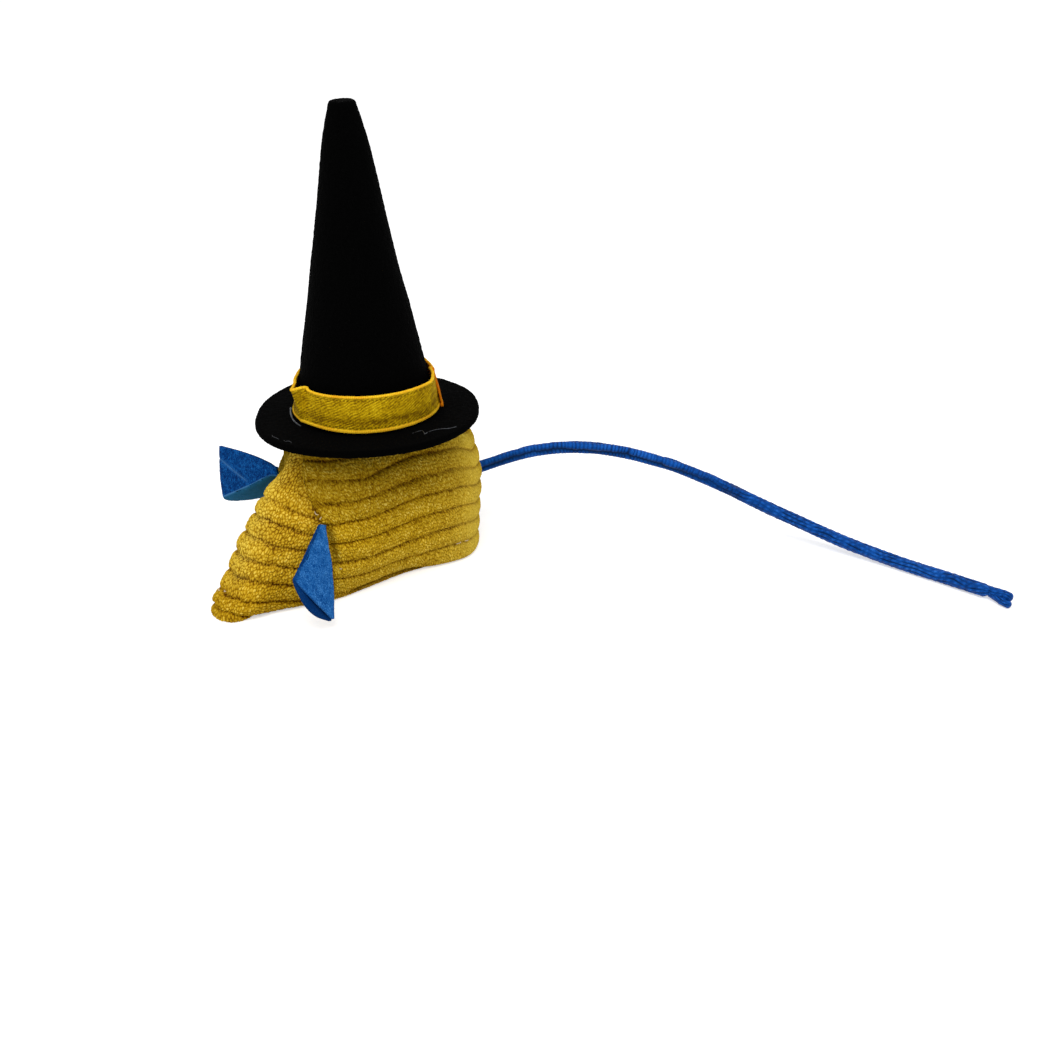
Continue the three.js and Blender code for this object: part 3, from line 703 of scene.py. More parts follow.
def seam_dip(seam, height, seed):
    """How deep the cloth is pulled in beside a seam, with puckers, less towards the hat."""
    pucker = 0.12 * drift(np.stack([seam * 0.3, height, 0 * seam], -1), 1.7, seed + 5) * bell(seam, 2.5)
    return (SEAM_DIP * bell(seam, SEAM_SPREAD) + pucker) * (1 - 0.95 * ramp(22, 28, height))


def curled(skin, outward, place, height):
    """Rolls the foot under where it meets the ground."""
    low = np.clip(CURL - height, 0, CURL)
    roll = (1 - 0.6 * rear_corner(place)) * (CURL - np.sqrt(CURL**2 - low**2))
    return skin - outward * (1, 1, 0) * roll[..., None]


# %% Ribs and pile of one panel
def ribbed(ground, place, height, along, ribs, seed, warm):
    """Relief of the ribs in mm, their roundness and the distance across. The face's fade under the hat."""
    wander = 0.05 * drift(np.stack([along, height * 1.6], -1), 8.0, seed)
    wander = wander + 0.03 * drift(ground, 2.2, seed + 1)
    rib, pitch = ribs(place, height)
    relief, crown = rib_relief(rib + wander, pitch)
    fading = ramp(24, 30, height) * warm
    return relief * (1 - 0.8 * fading), crown + (0.8 - crown) * 0.75 * fading, (rib + wander) * pitch


def piled(ground, place, height, along, across, tuft_size, seed, warm):
    """Tufts that lean along the ribs, fine ones between them, and each tuft's chance value."""
    spot = np.stack([along, height, 0 * along], -1)

    def pulled(first, second):
        return 0.3 * drift(spot, 1.3, seed + first) + 0.12 * drift(spot, 0.5, seed + second)

    if warm:
        climb = np.linalg.norm(np.diff(ground, axis=0, prepend=ground[:1]), axis=-1).mean(1)
        across = np.cumsum(climb)[:, None]
    along, across = along + pulled(2, 7), across + pulled(3, 9)
    pile, picked = tufts(along + (0.3 - 0.12 * warm) * across, across, *tuft_size, seed + 4)
    fine, _ = tufts(along, across, tuft_size[0] * 0.5, tuft_size[1] * 0.45, seed + 8)
    calm = 0.55 * ramp(5.3, 6.2, from_nose(place))
    return pile + (0.7 - pile) * calm, fine, picked


def tint_of(place, height, warm):
    """Three shares for the finish: the warmer cloth, a painted highlight on the tips, and painted shade."""
    away = from_nose(place)
    if warm:
        # Painted highlight along the face's ridge at the nose; painted shade at the foot and under the brim
        # off the ridge.
        painted_highlight = (0.12 + 0.55 * bell(away, 0.8)) * ramp(4, 14, height)
        painted_shade = 0.15 * (1 - ramp(2, 10, height)) + 0.26 * ramp(19, 29, height) * ramp(1.2, 3, away)
    else:
        # Painted highlight at the rear corner and towards the foot; painted shade under the brim and a
        # painted shadow beside the left ear.
        painted_highlight = 0.75 * bell(away - 6.15, 0.5) + 0.12 * (1 - ramp(6, 16, height))
        painted_shade = 0.28 * ramp(17, 27, height) * (1 - ramp(5.2, 6.2, away)) + 0.6 * beside_ear(place, height)
    return np.stack([0 * painted_highlight + warm, painted_highlight, painted_shade], -1)


# %% A panel with its edges turned in
PANEL_STEP, PANEL_ROWS, HEM = 0.135, 285, 5
FOOT_TUCK, SEAM_TUCK, SEAM_LEAN = 3.2, 1.9, 0.5
UNDER_HAT = np.array([0, -6.0, HEIGHT - 0.2])


def even_places(first, last, step):
    """Places round the outline from first to last that are about step apart at mid height."""
    dense = np.linspace(first, last, 2000)
    length = run_length(form(dense % AROUND, np.full_like(dense, 14.0)))
    return np.interp(np.linspace(0, length[-1], int(length[-1] / step)), length, dense)


def hemmed(skin, field, outward):
    """Turns the cloth in at its foot, under the hat and at both seams, so that no cut edge shows. The tucks
    get painted shade.
    """
    tuck = np.linspace(0.25, 1, HEM)[:, None, None]
    under = skin[:1] - outward[:1] * (1, 1, 0) * FOOT_TUCK * tuck
    over = skin[-1:] + (UNDER_HAT - skin[-1:]) * tuck
    skin = np.concatenate([under[::-1], skin, over])
    # Painted shade: the turned-in foot and top are darker.
    dark = field * (0.25, 0.25, 1)
    field = np.concatenate([np.repeat(dark[:1], HEM, 0), field, np.repeat(dark[-1:], HEM, 0)])
    outward = np.pad(outward, ((HEM, HEM), (0, 0), (0, 0)), "edge")

    into = np.linspace(0.2, 1, HEM)[None, :, None]
    folds, shades = [], []
    for edge, step in ((0, 1), (-1, -1)):
        lean = skin[:, [edge + step * 6]] - skin[:, [edge]]
        lean /= np.maximum(np.linalg.norm(lean, axis=-1, keepdims=True), 1e-9)
        folds.append(skin[:, [edge]] - outward[:, [edge]] * SEAM_TUCK * into + lean * SEAM_LEAN * into)
        # Painted shade: the cloth tucked into the seams is darker.
        shades.append(np.repeat(field[:, [edge]] * (0.3, 0.3, 1), HEM, 1))
    skin = np.concatenate([folds[0][:, ::-1], skin, folds[1]], 1)
    skin[..., 2] = np.maximum(skin[..., 2], 0.03)
    return skin, np.concatenate([shades[0][:, ::-1], field, shades[1]], 1)


def corduroy_panel(name, first, last, ribs, tuft_size, seed, warm):
    """The panel between two seams. warm is 1 for the face, cut from a warmer piece with longer tufts."""
    places = even_places(first, last, PANEL_STEP)
    heights = np.linspace(0, HEIGHT - 0.15, PANEL_ROWS)
    place, height = np.meshgrid(places, heights)
    ground = form(place % AROUND, height)
    outward = normals_of(ground)
    along = np.cumsum(np.linalg.norm(np.diff(ground, axis=1, prepend=ground[:, :1]), axis=-1), 1)
    along = along - along[:, [len(places) // 2]]

    relief, crown, across = ribbed(ground, place, height, along, ribs, seed, warm)
    pile, fine, picked = piled(ground, place, height, along, across, tuft_size, seed, warm)
    seam = seam_distance(ground, heights)
    push = relief * (1 - 0.45 * bell(seam, 1.2)) - seam_dip(seam, height, seed)
    push = push + 0.22 * drift(ground, 7.0, seed + 6)
    push = push + (0.36 * pile + 0.1 * fine - 0.17) * (0.5 + 0.5 * crown) + drawn(place, height)
    skin = curled(ground + outward * push[..., None], outward, place, height)

    # Painted shade: the ribs' crowns darken close to the seams, except under the brim.
    under_brim = ramp(24, 30, height)
    crown = crown * (under_brim + (1 - under_brim) * ramp(0.1, 1.2, seam))
    field = np.stack([pile * (0.7 + 0.3 * fine), crown, picked], -1)
    skin, field = hemmed(skin, field, outward)
    tint = np.pad(tint_of(place, height, warm), ((HEM, HEM), (HEM, HEM), (0, 0)), "edge")
    faces = quads(*skin.shape[:2])[:, ::-1]
    return cloth_piece(name, skin, faces, corduroy_finish, {"pile": field, "tint": tint})


# %% [markdown]
# Corduroy's colour comes from its pile: gold on the tips, and brown between them and in the grooves, which is
# painted shade. The mesh carries how high each point is on its tuft and rib, and a ramp turns that into
# colour, with noise for single fibres. The face is a little warmer, and a painted highlight and painted shade
# lie over both.

# %% Finish of the corduroy
corduroy_finish, maker = new_finish("gold_corduroy")
tip, crown, each = maker.field("pile")
warmth, painted_highlight, painted_shade = maker.field("tint")
fibres = maker.fibres(4200.0, 4.0, roughness=0.7)
stains = maker.fibres(130.0, 3.0)
# Painted shade: low points of the pile, between the tufts and in the rib grooves, get the dark brown end of
# the ramps.
light = 0.05 + 0.58 * tip + 0.26 * crown + 0.14 * (each - 0.5)
light = (light + 0.7 * (fibres - 0.5) + 0.35 * (stains - 0.5)).clamp()
cool = light.through(
    (0.12, tone(90, 54, 0)), (0.45, tone(176, 136, 14)), (0.72, tone(212, 174, 38)),
    (1.0, tone(250, 222, 104)))
warm = light.through(
    (0.16, tone(92, 52, 0)), (0.47, tone(180, 136, 12)), (0.74, tone(216, 174, 36)),
    (1.0, tone(250, 218, 96)))
# Painted highlight: the tips turn pale gold.
cloth = (painted_highlight * (1.1 * tip - 0.1)).clamp().mix(warmth.mix(cool, warm), tone(240, 214, 88))
# Painted shade: the cloth turns dark brown.
surface(
    maker, Base_Color=painted_shade.mix(cloth, tone(62, 34, 0)), Roughness=0.95, Specular_IOR_Level=0.05,
    Normal=fibres.bump(0.5, 0.00014),
)
print("corduroy finish: %d nodes" % len(maker.tree.nodes))

# %% The three ribbed panels
FACE_TUFT, SIDE_TUFT = (0.74, 0.94), (0.46, 0.95)

face = corduroy_panel("face_corduroy", -FRONT_SEAM, FRONT_SEAM, face_ribs, FACE_TUFT, 11, 1.0)
left_side = corduroy_panel("left_side_corduroy", FRONT_SEAM, REAR_SEAM, side_ribs, SIDE_TUFT, 31, 0.0)
right_side = corduroy_panel(
    "right_side_corduroy", REAR_SEAM, AROUND - FRONT_SEAM, side_ribs, SIDE_TUFT, 51, 0.0)
upright = {"face_panel": face, "side_panel_left": left_side, "side_panel_right": right_side}
for node, panel in upright.items():
    fitted(panel, "body", node)

# %% [markdown]
# The base is the one panel that nobody sees while the toy stands. It is cut from the same corduroy with
# its ribs running from nose to rear, and sewn in a little above the ground, so it stays flat where the
# toy rests.

# %% The base panel
BASE_HEIGHT, BASE_SHARE, BASE_TUFT = 0.6, 0.9, (0.6, 0.98)


def base_panel():
    """Rings that shrink from the body's foot to its middle, with straight ribs on their underside."""
    turns = np.linspace(0, AROUND, 900, endpoint=False)
    shares = np.linspace(1, 0.0, 130)
    rim = form(turns, np.full(turns.shape, BASE_HEIGHT))
    middle = np.array([0, -9.0, BASE_HEIGHT])
    grid = middle + (rim - middle)[None] * (BASE_SHARE * shares[:, None, None])
    relief, crown = rib_relief(grid[..., 0] / BASE_PITCH, BASE_PITCH)
    pile, picked = tufts(grid[..., 1], grid[..., 0], *BASE_TUFT, 71)
    grid[..., 2] = np.clip(0.38 - 0.3 * relief - 0.3 * (pile - 0.5) * (1 - 0.4 * crown), 0.02, 1.5)
    return cloth_piece(
        "base_corduroy", grid, quads(len(shares), len(turns), wrap=True), corduroy_finish,
        {"pile": np.stack([pile, crown, picked], -1), "tint": 0 * grid},
    )


base = fitted(base_panel(), "body", "base_panel")

# %% [markdown]
# Fibre filling is white, loose and springy, and no seam lets it out. Loose fibres would be thousands of
# hairs that nobody sees, so it is one soft lump in the form of the body, a little smaller than its cloth.

# %% The filling
LUMP_RINGS, LUMP_SIDES, LUMP_LOW, LUMP_HIGH = 90, 240, 2.2, 36.5
LUMP_MIDDLE, LUMP_SHARE = np.array([0, -7.5]), 0.8

filling_finish, maker = new_finish("fibre_filling")
wisps = maker.fibres(900.0, 6.0, swirl=1.5)
surface(
    maker, Base_Color=wisps.through((0.3, tone(206, 202, 190)), (0.7, tone(246, 244, 238))), Roughness=0.95,
    Sheen_Weight=0.3, Normal=wisps.bump(0.6, 0.0004),
)
lump = form(*np.meshgrid(
    np.linspace(0, AROUND, LUMP_SIDES, endpoint=False), np.linspace(LUMP_LOW, LUMP_HIGH, LUMP_RINGS)))
draw = LUMP_SHARE + 0.04 * drift(lump, 4.0, 81)
lump[..., :2] = LUMP_MIDDLE + (lump[..., :2] - LUMP_MIDDLE) * draw[..., None]
lids = [(*LUMP_MIDDLE, LUMP_LOW + 0.1), (*LUMP_MIDDLE, LUMP_HIGH + 0.4)]
lump_points = np.concatenate([lump.reshape(-1, 3), lids])
filling = cloth_piece("fibre_filling", lump_points, ring_faces(LUMP_RINGS, LUMP_SIDES), filling_finish)
fitted(filling, "body", "stuffing")

# %% [markdown]
# ## The felt ears
# Each ear is one triangle of blue felt, folded in two and pinched into the front seam. The left one hangs
# almost closed, the right one stands open. A folded sheet is a strip that runs down the first layer,
# round the fold and back up the second, so a grid follows that strip and gets its thickness on both
# sides.

# %% A folded sheet of felt
FELT = 1.0
EAR_ROWS, LAYER_COLUMNS, TUCK_ROWS = 120, 70, 12


def ear_grid(edges, bulges, reaches, knee, tuck):
    """Middle surface of an ear: rows from root to mouth, columns down the front layer and up the back.
    edges are the front, the fold and the back, each given at its root and at the mouth."""
    share = np.linspace(0, 1, EAR_ROWS)[:, None, None]
    front, fold, back = [np.array(start) + (np.array(end) - start) * share for start, end in edges]
    step = np.linspace(0, 1, LAYER_COLUMNS)[None, :, None]
    near = front + (fold - front) * step + np.sin(np.pi * step) * share * (reaches[0], bulges[0], 0)
    bend = fold + np.array(knee) * share
    far = (1 - step) ** 2 * fold + 2 * step * (1 - step) * bend + step**2 * back
    far = far + np.sin(np.pi * step**1.8) * share * (reaches[1], bulges[1], 0)
    turn = np.linspace(0, 1, 9)[None, 1:-1, None]
    start, end = near[:, -3:-2], far[:, 2:3]
    outside = fold + (fold - (start + end) / 2) * 0.6
    around = (1 - turn) ** 2 * start + 2 * turn * (1 - turn) * outside + turn**2 * end
    grid = np.concatenate([near[:, :-2], around, far[:, 2:]], 1)
    root = grid[:1] + np.linspace(1, 0, TUCK_ROWS, endpoint=False)[:, None, None] * np.array(tuck)
    layer = np.concatenate([np.zeros(LAYER_COLUMNS - 2), np.linspace(0, 1, 7), np.ones(LAYER_COLUMNS - 2)])
    return np.concatenate([root, grid]), layer + np.zeros((EAR_ROWS + TUCK_ROWS, 1))


def about(axis, degrees):
    """Matrix that turns points about one of the three axes."""
    sine, cosine = math.sin(math.radians(degrees)), math.cos(math.radians(degrees))
    first, second = [(1, 2), (2, 0), (0, 1)][axis]
    matrix = np.eye(3)
    matrix[first, first] = matrix[second, second] = cosine
    matrix[second, first], matrix[first, second] = sine, -sine
    return matrix


def stand(grid, pivot, side, heading, droop, roll):
    """Turns an ear about its root and sets it at the seam."""
    return (grid @ (about(2, heading) @ about(1, droop) @ about(0, roll)).T) * (side, 1, 1) + pivot


def felt_sheet(name, grid, material, seed, field):
    """A felt sheet on a middle surface, with fibres standing on both faces and a ragged cut edge."""
    rows, columns = grid.shape[:2]
    grid = grid + 0.12 * drift(grid, 3.5, seed)[..., None] * normals_of(grid)
    normal = normals_of(grid)
    edge_row = np.minimum(np.arange(rows), np.arange(rows)[::-1])[:, None]
    edge_column = np.minimum(np.arange(columns), np.arange(columns)[::-1])[None]
    half = FELT / 2 * (0.78 + 0.22 * ramp(0, 3, np.minimum(edge_row, edge_column)))
    sides = []
    for way in (1, -1):
        fuzz = 0.05 * drift(grid, 0.45, seed + 2 + way) + 0.03 * drift(grid, 0.2, seed + 5 + way)
        sides.append((grid + normal * (way * (half + fuzz))[..., None]).reshape(-1, 3))
    points, faces = np.concatenate(sides), sheet_faces(rows, columns)
    corners = points[faces]
    volume = np.einsum("ij,ij->i", corners[:, 0], np.cross(corners[:, 1], corners[:, 2])).sum()
    if volume < 0:
        faces = faces[:, ::-1]
    return cloth_piece(name, points, faces, material, {"fold": np.concatenate([field, field]).reshape(-1, 3)})


# %% [markdown]
# Felt is short fibres pressed in every direction, so it has no weave and no sheen. It is paler where
# fibres stand up, and the right ear gets a painted highlight along a crease and round its fold. The two ears
# were dyed alike but take the light differently, the right one's colours painted darker as painted shade. The
# inside of the fold is another tone, on the left ear a painted shade, so one function makes both finishes.

# %% Finish of the blue felt
def felt_finish(name, dark, middle, pale, back, strength, highlight_colour):
    material, maker = new_finish(name)
    mat = maker.fibres(2300.0, 4.0, roughness=0.7, swirl=1.8)
    clumps = maker.fibres(420.0, 3.0)
    hairs = maker.fibres(2600.0, swirl=3.0, stretch=(1, 1, 0.25))
    light = (0.48 + 2.2 * (mat - 0.5) + 0.6 * (clumps - 0.5) + 1.5 * (hairs - 0.5)).clamp()
    layer, painted_highlight, _ = maker.field("fold")
    # On the left ear the back layer's darker colour is painted shade.
    colour = (layer * strength).clamp().mix(light.through((0.1, dark), (0.5, middle), (0.9, pale)), back)
    # Painted highlight: the crease and the fold's rim are mixed towards the highlight colour.
    surface(
        maker, Base_Color=(painted_highlight * 0.8).clamp().mix(colour, highlight_colour), Roughness=0.95, Specular_IOR_Level=0.04,
        Normal=(mat + 0.5 * hairs).bump(0.5, 0.00012),
    )
    print("%s: %d nodes" % (name, len(maker.tree.nodes)))
    return material


left_felt = felt_finish(
    "blue_felt_left", dark=tone(0, 52, 118), middle=tone(22, 92, 164), pale=tone(76, 142, 210),
    back=tone(0, 42, 96), strength=0.9, highlight_colour=tone(76, 142, 210))
right_felt = felt_finish(
    "blue_felt_right", dark=tone(0, 12, 64), middle=tone(0, 60, 126), pale=tone(30, 108, 184),
    back=tone(40, 112, 148), strength=0.7, highlight_colour=tone(84, 142, 196))

# %% The drooping left ear
LEFT_EDGES = [
    [(-0.2, 0.5, -0.7), (21.4, 0.7, -6.6)],
    [(0.0, 0, 0.6), (16.8, 0, 7.0)],
    [(-0.2, -0.6, -0.7), (21.3, -1.0, -7.4)],
]
left_grid, left_layer = ear_grid(LEFT_EDGES, (0.25, -0.2), (0.4, 2.5), (0, -0.3, 0), (-1.0, -1.1, -1.6))
down_ear = np.clip(left_grid[..., 0] / 21.7, 0, 1)
left_grid[..., 2] -= 0.95 * np.sin(np.pi * down_ear**0.9) * np.clip(-left_grid[..., 2] / 3, 0, 1)
left_grid = stand(left_grid, pivot=(12.07, -24.05, 20.73), side=1, heading=-46.5, droop=38, roll=32)
left_field = np.stack([left_layer, 0 * left_layer, 0 * left_layer], -1)
left_ear = felt_sheet("left_ear_felt", left_grid, left_felt, 101, left_field)

# %% The open right ear, with a crease across its front layer
RIGHT_EDGES = [
    [(-5.0, -0.7, 5.7), (18.8, -0.7, 7.8)],
    [(-5.0, -0.7, 3.8), (18.9, -0.7, -5.5)],
    [(-3.0, 2.5, 2.3), (19.8, 11.5, -7.7)],
]
CREASE_START, CREASE_WAY = (18.7, 4.6), np.array([-12.5, -4.5]) / np.hypot(12.5, 4.5)

right_grid, right_layer = ear_grid(RIGHT_EDGES, (-0.25, 0.2), (0.2, 0.2), (1.3, 1.2, -2.2), (-0.8, 0.3, 0))
down_ear = np.clip((right_grid[..., 0] + 5) / 23.8, 0, 1)
right_grid[..., 2] += 0.75 * np.sin(np.pi * down_ear**0.65) * np.clip(right_grid[..., 2] / 5, 0, 1)
from_crease = right_grid[..., (0, 2)] - CREASE_START
off_crease = from_crease @ (-CREASE_WAY[1], CREASE_WAY[0])
# The crease and the fold's rim carry a painted highlight; the crease also lifts the felt a little.
crease = bell(off_crease, 0.36) * ramp(13.5, 10, from_crease @ CREASE_WAY) * (right_layer < 0.1)
fold_rim_highlight = bell(right_layer - 0.35, 0.4) * (right_layer > 0) * (right_layer < 1)
right_highlight = np.clip(0.75 * crease + 0.7 * fold_rim_highlight, 0, 1)
right_grid[..., 1] += 0.18 * crease
right_grid = stand(right_grid, pivot=(-9.91, -24.05, 24.47), side=-1, heading=0, droop=9, roll=-7)
right_field = np.stack([right_layer, right_highlight, 0 * right_highlight], -1)
right_ear = felt_sheet("right_ear_felt", right_grid, right_felt, 121, right_field)

# %% Both ears on their joints
for ear, node, body in ((left_ear, "ear_left", "left_ear"), (right_ear, "ear_right", "right_ear")):
    fitted(ear, body, node)

# %% [markdown]
# ## The hat
# The hat is black felt: a flat ring for the brim and a steep cone glued on it. Both have a soft edge
# where the cloth was cut, so their profiles are turned round an axis and then roughened. Black felt
# swallows light, and its form shows only at its outline, so the finish stays dark and the edge carries
# the fuzz.

# %% Seat of the hat on the body
TILT, LEAN, HAT_SHIFT = 1.2, -1.1, 0.9
FELT_STEP = 0.3


def seated(points):
    """Moves points from the hat's own axis to its place on the body."""
    return points @ (about(0, TILT) @ about(1, LEAN)).T + (HAT_SHIFT, 0, HEIGHT)


def turned(profile, sides, seed, fuzz, sway):
    """Turns a closed profile of (radius, height) round the hat's axis and roughens it as felt."""
    profile = np.asarray(profile, float)
    length = run_length(profile)
    places = np.linspace(0, length[-1], int(length[-1] / FELT_STEP) + 1)[:-1]
    profile = np.stack([np.interp(places, length, profile[:, axis]) for axis in range(2)], 1)
    angle = np.linspace(0, 2 * np.pi, sides, endpoint=False)
    spin = np.stack([np.cos(angle), np.sin(angle)], -1)
    grid = profile[:, None, :1] * spin[None]
    grid = np.concatenate([grid, np.repeat(profile[:, None, 1:], sides, 1)], -1)
    normal = normals_of(np.pad(grid, ((1, 1), (1, 1), (0, 0)), "wrap"))[1:-1, 1:-1]
    rough = fuzz * (drift(grid, 0.55, seed) + 0.6 * drift(grid, 0.25, seed + 1))
    rough = rough + sway * drift(grid, 9.0, seed + 2)
    return grid + normal * rough[..., None]


# %% Finish of the black felt
hat_finish, maker = new_finish("black_felt")
mat = maker.fibres(2200.0, 5.0, roughness=0.7, swirl=1.5)
lint = maker.fibres(700.0, swirl=4.0)
black = ((mat - 0.35) * 1.6).clamp().mix(tone(0, 0, 0), tone(7, 7, 7))
black = (((lint - 0.7) * 9).clamp() * 0.2).mix(black, tone(44, 43, 41))
surface(maker, Base_Color=black, Roughness=1.0, Specular_IOR_Level=0.02, Normal=mat.bump(0.5, 0.00015))
print("black felt finish: %d nodes" % len(maker.tree.nodes))

# %% Brim: a ring cut by hand, so it isn't quite round
BRIM_RADIUS, BRIM_THICK, BRIM_HOLE, BRIM_LOW, BRIM_EDGE = 27.5, 1.8, 15.8, 0.3, 0.75
CUT_ANGLES = (0, 22, 46, 91, 136, 165, 181, 200, 226, 250, 271, 290, 316)
CUT_EXTRA = (0.7, 0.8, 0.3, 0.2, 0.3, 1.6, 1.9, 0.9, -0.3, 0.4, 0.9, 0.4, 0)

brim_profile = [
    (BRIM_HOLE, BRIM_LOW), (BRIM_RADIUS - BRIM_EDGE, BRIM_LOW),
    *[(BRIM_RADIUS - BRIM_EDGE + BRIM_EDGE * math.cos(turn), BRIM_LOW + BRIM_THICK / 2 * (1 + math.sin(turn)))
      for turn in np.radians(np.linspace(-90, 90, 13))],
    (BRIM_HOLE, BRIM_LOW + BRIM_THICK), (BRIM_HOLE, BRIM_LOW),
]
brim_points = turned(brim_profile, 720, 131, 0.07, 0.12)
degrees = np.arange(360)
cut = softened(np.interp(degrees, CUT_ANGLES, CUT_EXTRA, period=360), 15, "wrap")
around = np.degrees(np.arctan2(brim_points[..., 1], brim_points[..., 0]))
away = np.linalg.norm(brim_points[..., :2], axis=-1)
wider = np.interp(around, degrees, cut, period=360) * ramp(20, 27, away) / BRIM_RADIUS
brim_points[..., :2] *= (1 + wider)[..., None]
brim = cloth_piece("brim_felt", seated(brim_points), quads(*brim_points.shape[:2], True, True), hat_finish)
fitted(brim, "body", "hat_brim")

# %% Cone
CONE_HEIGHT, CONE_RADIUS, CONE_BASE, CONE_WALL, TIP_ROUND = 74.4, 17.4, 2.4, 1.3, 0.9
CONE_HEIGHTS = (0, 0.2, 0.4, 0.6, 0.7, 0.8, 0.88, 0.95, 1)
CONE_SHARES = (1, 0.838, 0.665, 0.507, 0.434, 0.362, 0.3, 0.226, 0.165)
CONE_LEAN, AXIS = (-0.125, -0.13), 0.02

rise = np.linspace(0, CONE_HEIGHT - TIP_ROUND, 200)
outside = CONE_RADIUS * np.interp(rise / CONE_HEIGHT, CONE_HEIGHTS, CONE_SHARES)
cone_profile = [
    *zip(outside, rise),
    *[(outside[-1] - TIP_ROUND * (1 - math.cos(turn)), CONE_HEIGHT - TIP_ROUND * (1 - math.sin(turn)))
      for turn in np.radians(np.linspace(0, 90, 8))[1:]],
    (AXIS, CONE_HEIGHT - 0.12), (AXIS, CONE_HEIGHT - 2 * CONE_WALL),
    *zip(outside[::-8] - CONE_WALL, rise[::-8] * 0.965),
    (CONE_RADIUS, 0),
]
cone_points = turned(cone_profile, 480, 141, 0.075, 0.22)
cone_points[..., :2] += CONE_LEAN * ramp(0, 25, cone_points[..., 2:])
cone_points[..., 2] += CONE_BASE
cone = cloth_piece("cone_felt", seated(cone_points), quads(*cone_points.shape[:2], True, True), hat_finish)
fitted(cone, "body", "hat_cone")

# %% [markdown]
# ## The ribbon
# A woven twill ribbon, about 9.6 mm wide, lies loosely round the cone's foot. Its selvedges are thicker
# and brighter than its middle, with a row of fine holes inside them. It is a strip of points whose relief
# holds the twill's diagonal lines, and its route has the kink at the left and the free end at the right.

# %% Route of the ribbon
BAND_WIDTH, BAND_THICK, BAND_LOW, BAND_HIGH = 9.6, 0.6, 2.7, 12.2
RIBBON_TURNS = (40, 46, 54, 65, 90, 200, 215, 232, 250, 258, 263, 265, 268, 274, 286, 311, 348, 379, 392, 410)
TOP_RADIUS = (
    17.0, 16.9, 16.5, 16.0, 16.0, 16.0, 15.8, 16.2, 17.4, 18.9,
    20.3, 19.6, 16.9, 17.4, 17.8, 18.0, 18.7, 18.9, 17.6, 16.1)
LOW_RADIUS = (
    18.9, 18.6, 18.2, 17.9, 17.85, 17.85, 17.85, 17.85, 17.7, 17.9,
    18.1, 18.0, 17.8, 17.8, 17.8, 17.8, 17.9, 18.1, 18.0, 17.8)


def ribbon_grid(columns, rows):
    """Middle surface of the ribbon, and the distances along and across it."""
    angle = np.linspace(RIBBON_TURNS[0], RIBBON_TURNS[-1], columns)
    top, low = [softened(np.interp(angle, RIBBON_TURNS, radius), 6, "edge")[:, None]
                for radius in (TOP_RADIUS, LOW_RADIUS)]
    angle, share = angle[:, None], np.linspace(0, 1, rows)[None]
    behind = (1 - np.cos(np.radians(angle - 315))) / 2
    foot = BAND_LOW + 0.7 * bell(angle - 270, 28) + 0.4 * behind
    peak = 0.5 * bell(angle - 267, 3) * share**3
    height = foot + (BAND_HIGH + 0.3 * behind - foot) * share + peak
    radius = low + (top - low) * share**1.3
    turn = np.radians(angle)
    grid = np.stack([radius * np.cos(turn), radius * np.sin(turn), height], -1)
    grid = grid + normals_of(grid) * (0.12 * drift(grid, 5.0, 151) + 0.05 * drift(grid, 1.5, 152))[..., None]
    along = run_length(grid[:, rows // 2])[:, None] + 0 * share
    return grid, along, share * BAND_WIDTH + 0 * along


ribbon_middle, ribbon_along, ribbon_across = ribbon_grid(1500, 84)
print("ribbon: %.0f mm long" % ribbon_along.max())


# %% Weave of the ribbon
def wave(distance, pitch=1.0):
    """From 1 to 0 and back once in each pitch."""
    return 0.5 + 0.5 * np.cos(2 * np.pi * distance / pitch)


def ribbon_relief(along, across):
    """Height of the weave in mm, and for the finish: twill line, selvedge and hole."""
    from_edge = np.minimum(across, BAND_WIDTH - across)
    selvedge = 1 - np.minimum(ramp(0.7, 1.0, across), ramp(0.4, 0.65, BAND_WIDTH - across))
    spot = np.stack([along, across], -1)
    twill = wave(1.35 * across - 0.75 * along + 0.35 * drift(spot, 1.6, 161))
    twill = 0.5 + (twill - 0.5) * (0.55 + 0.45 * drift(spot, 0.9, 162)) + 0.3 * drift(spot, 0.45, 163)
    # Painted shade: a dark band along the ribbon's dent, about 2.7 mm above its lower edge, which also sinks
    # the weave.
    shaded_hollow = bell(across - 2.7, 1.1) * (0.6 + 0.5 * drift(spot * (0.25, 1), 1.5, 164))
    knots = wave(along, 0.5)
    roll = np.sqrt(np.clip(1 - ((from_edge - 0.45) / 0.5) ** 2, 0, 1))
    hole = bell(from_edge - 1.2, 0.2) * ramp(0.35, 0.75, wave(along, 0.85))
    height = (0.06 * twill + 0.02 * knots) * (1 - selvedge) + selvedge * (0.16 * roll + 0.04 * knots)
    height = height - 0.14 * hole
    cut_end = 1 - ramp(1.6, 2.6, along)
    bright = (twill - 0.5 * shaded_hollow) * (1 - selvedge) + (0.55 + 0.5 * knots) * selvedge
    bright, selvedge = bright - (bright + 0.2) * cut_end, np.maximum(selvedge, cut_end)
    return height - 0.1 * shaded_hollow, np.stack([bright, selvedge, hole * (1 - cut_end)], -1)


weave_height, weave_field = ribbon_relief(ribbon_along, ribbon_across)
print("weave: %.2f mm deep" % np.ptp(weave_height))

# %% [markdown]
# Seen close, the ribbon is two colours of one yarn: olive gold in the twill, brighter and more orange
# along the selvedges. The cut end is a darker orange. Its inner side shows only at the kink, and there it
# is plain orange from the dark end of the selvedge colour, a painted shade.

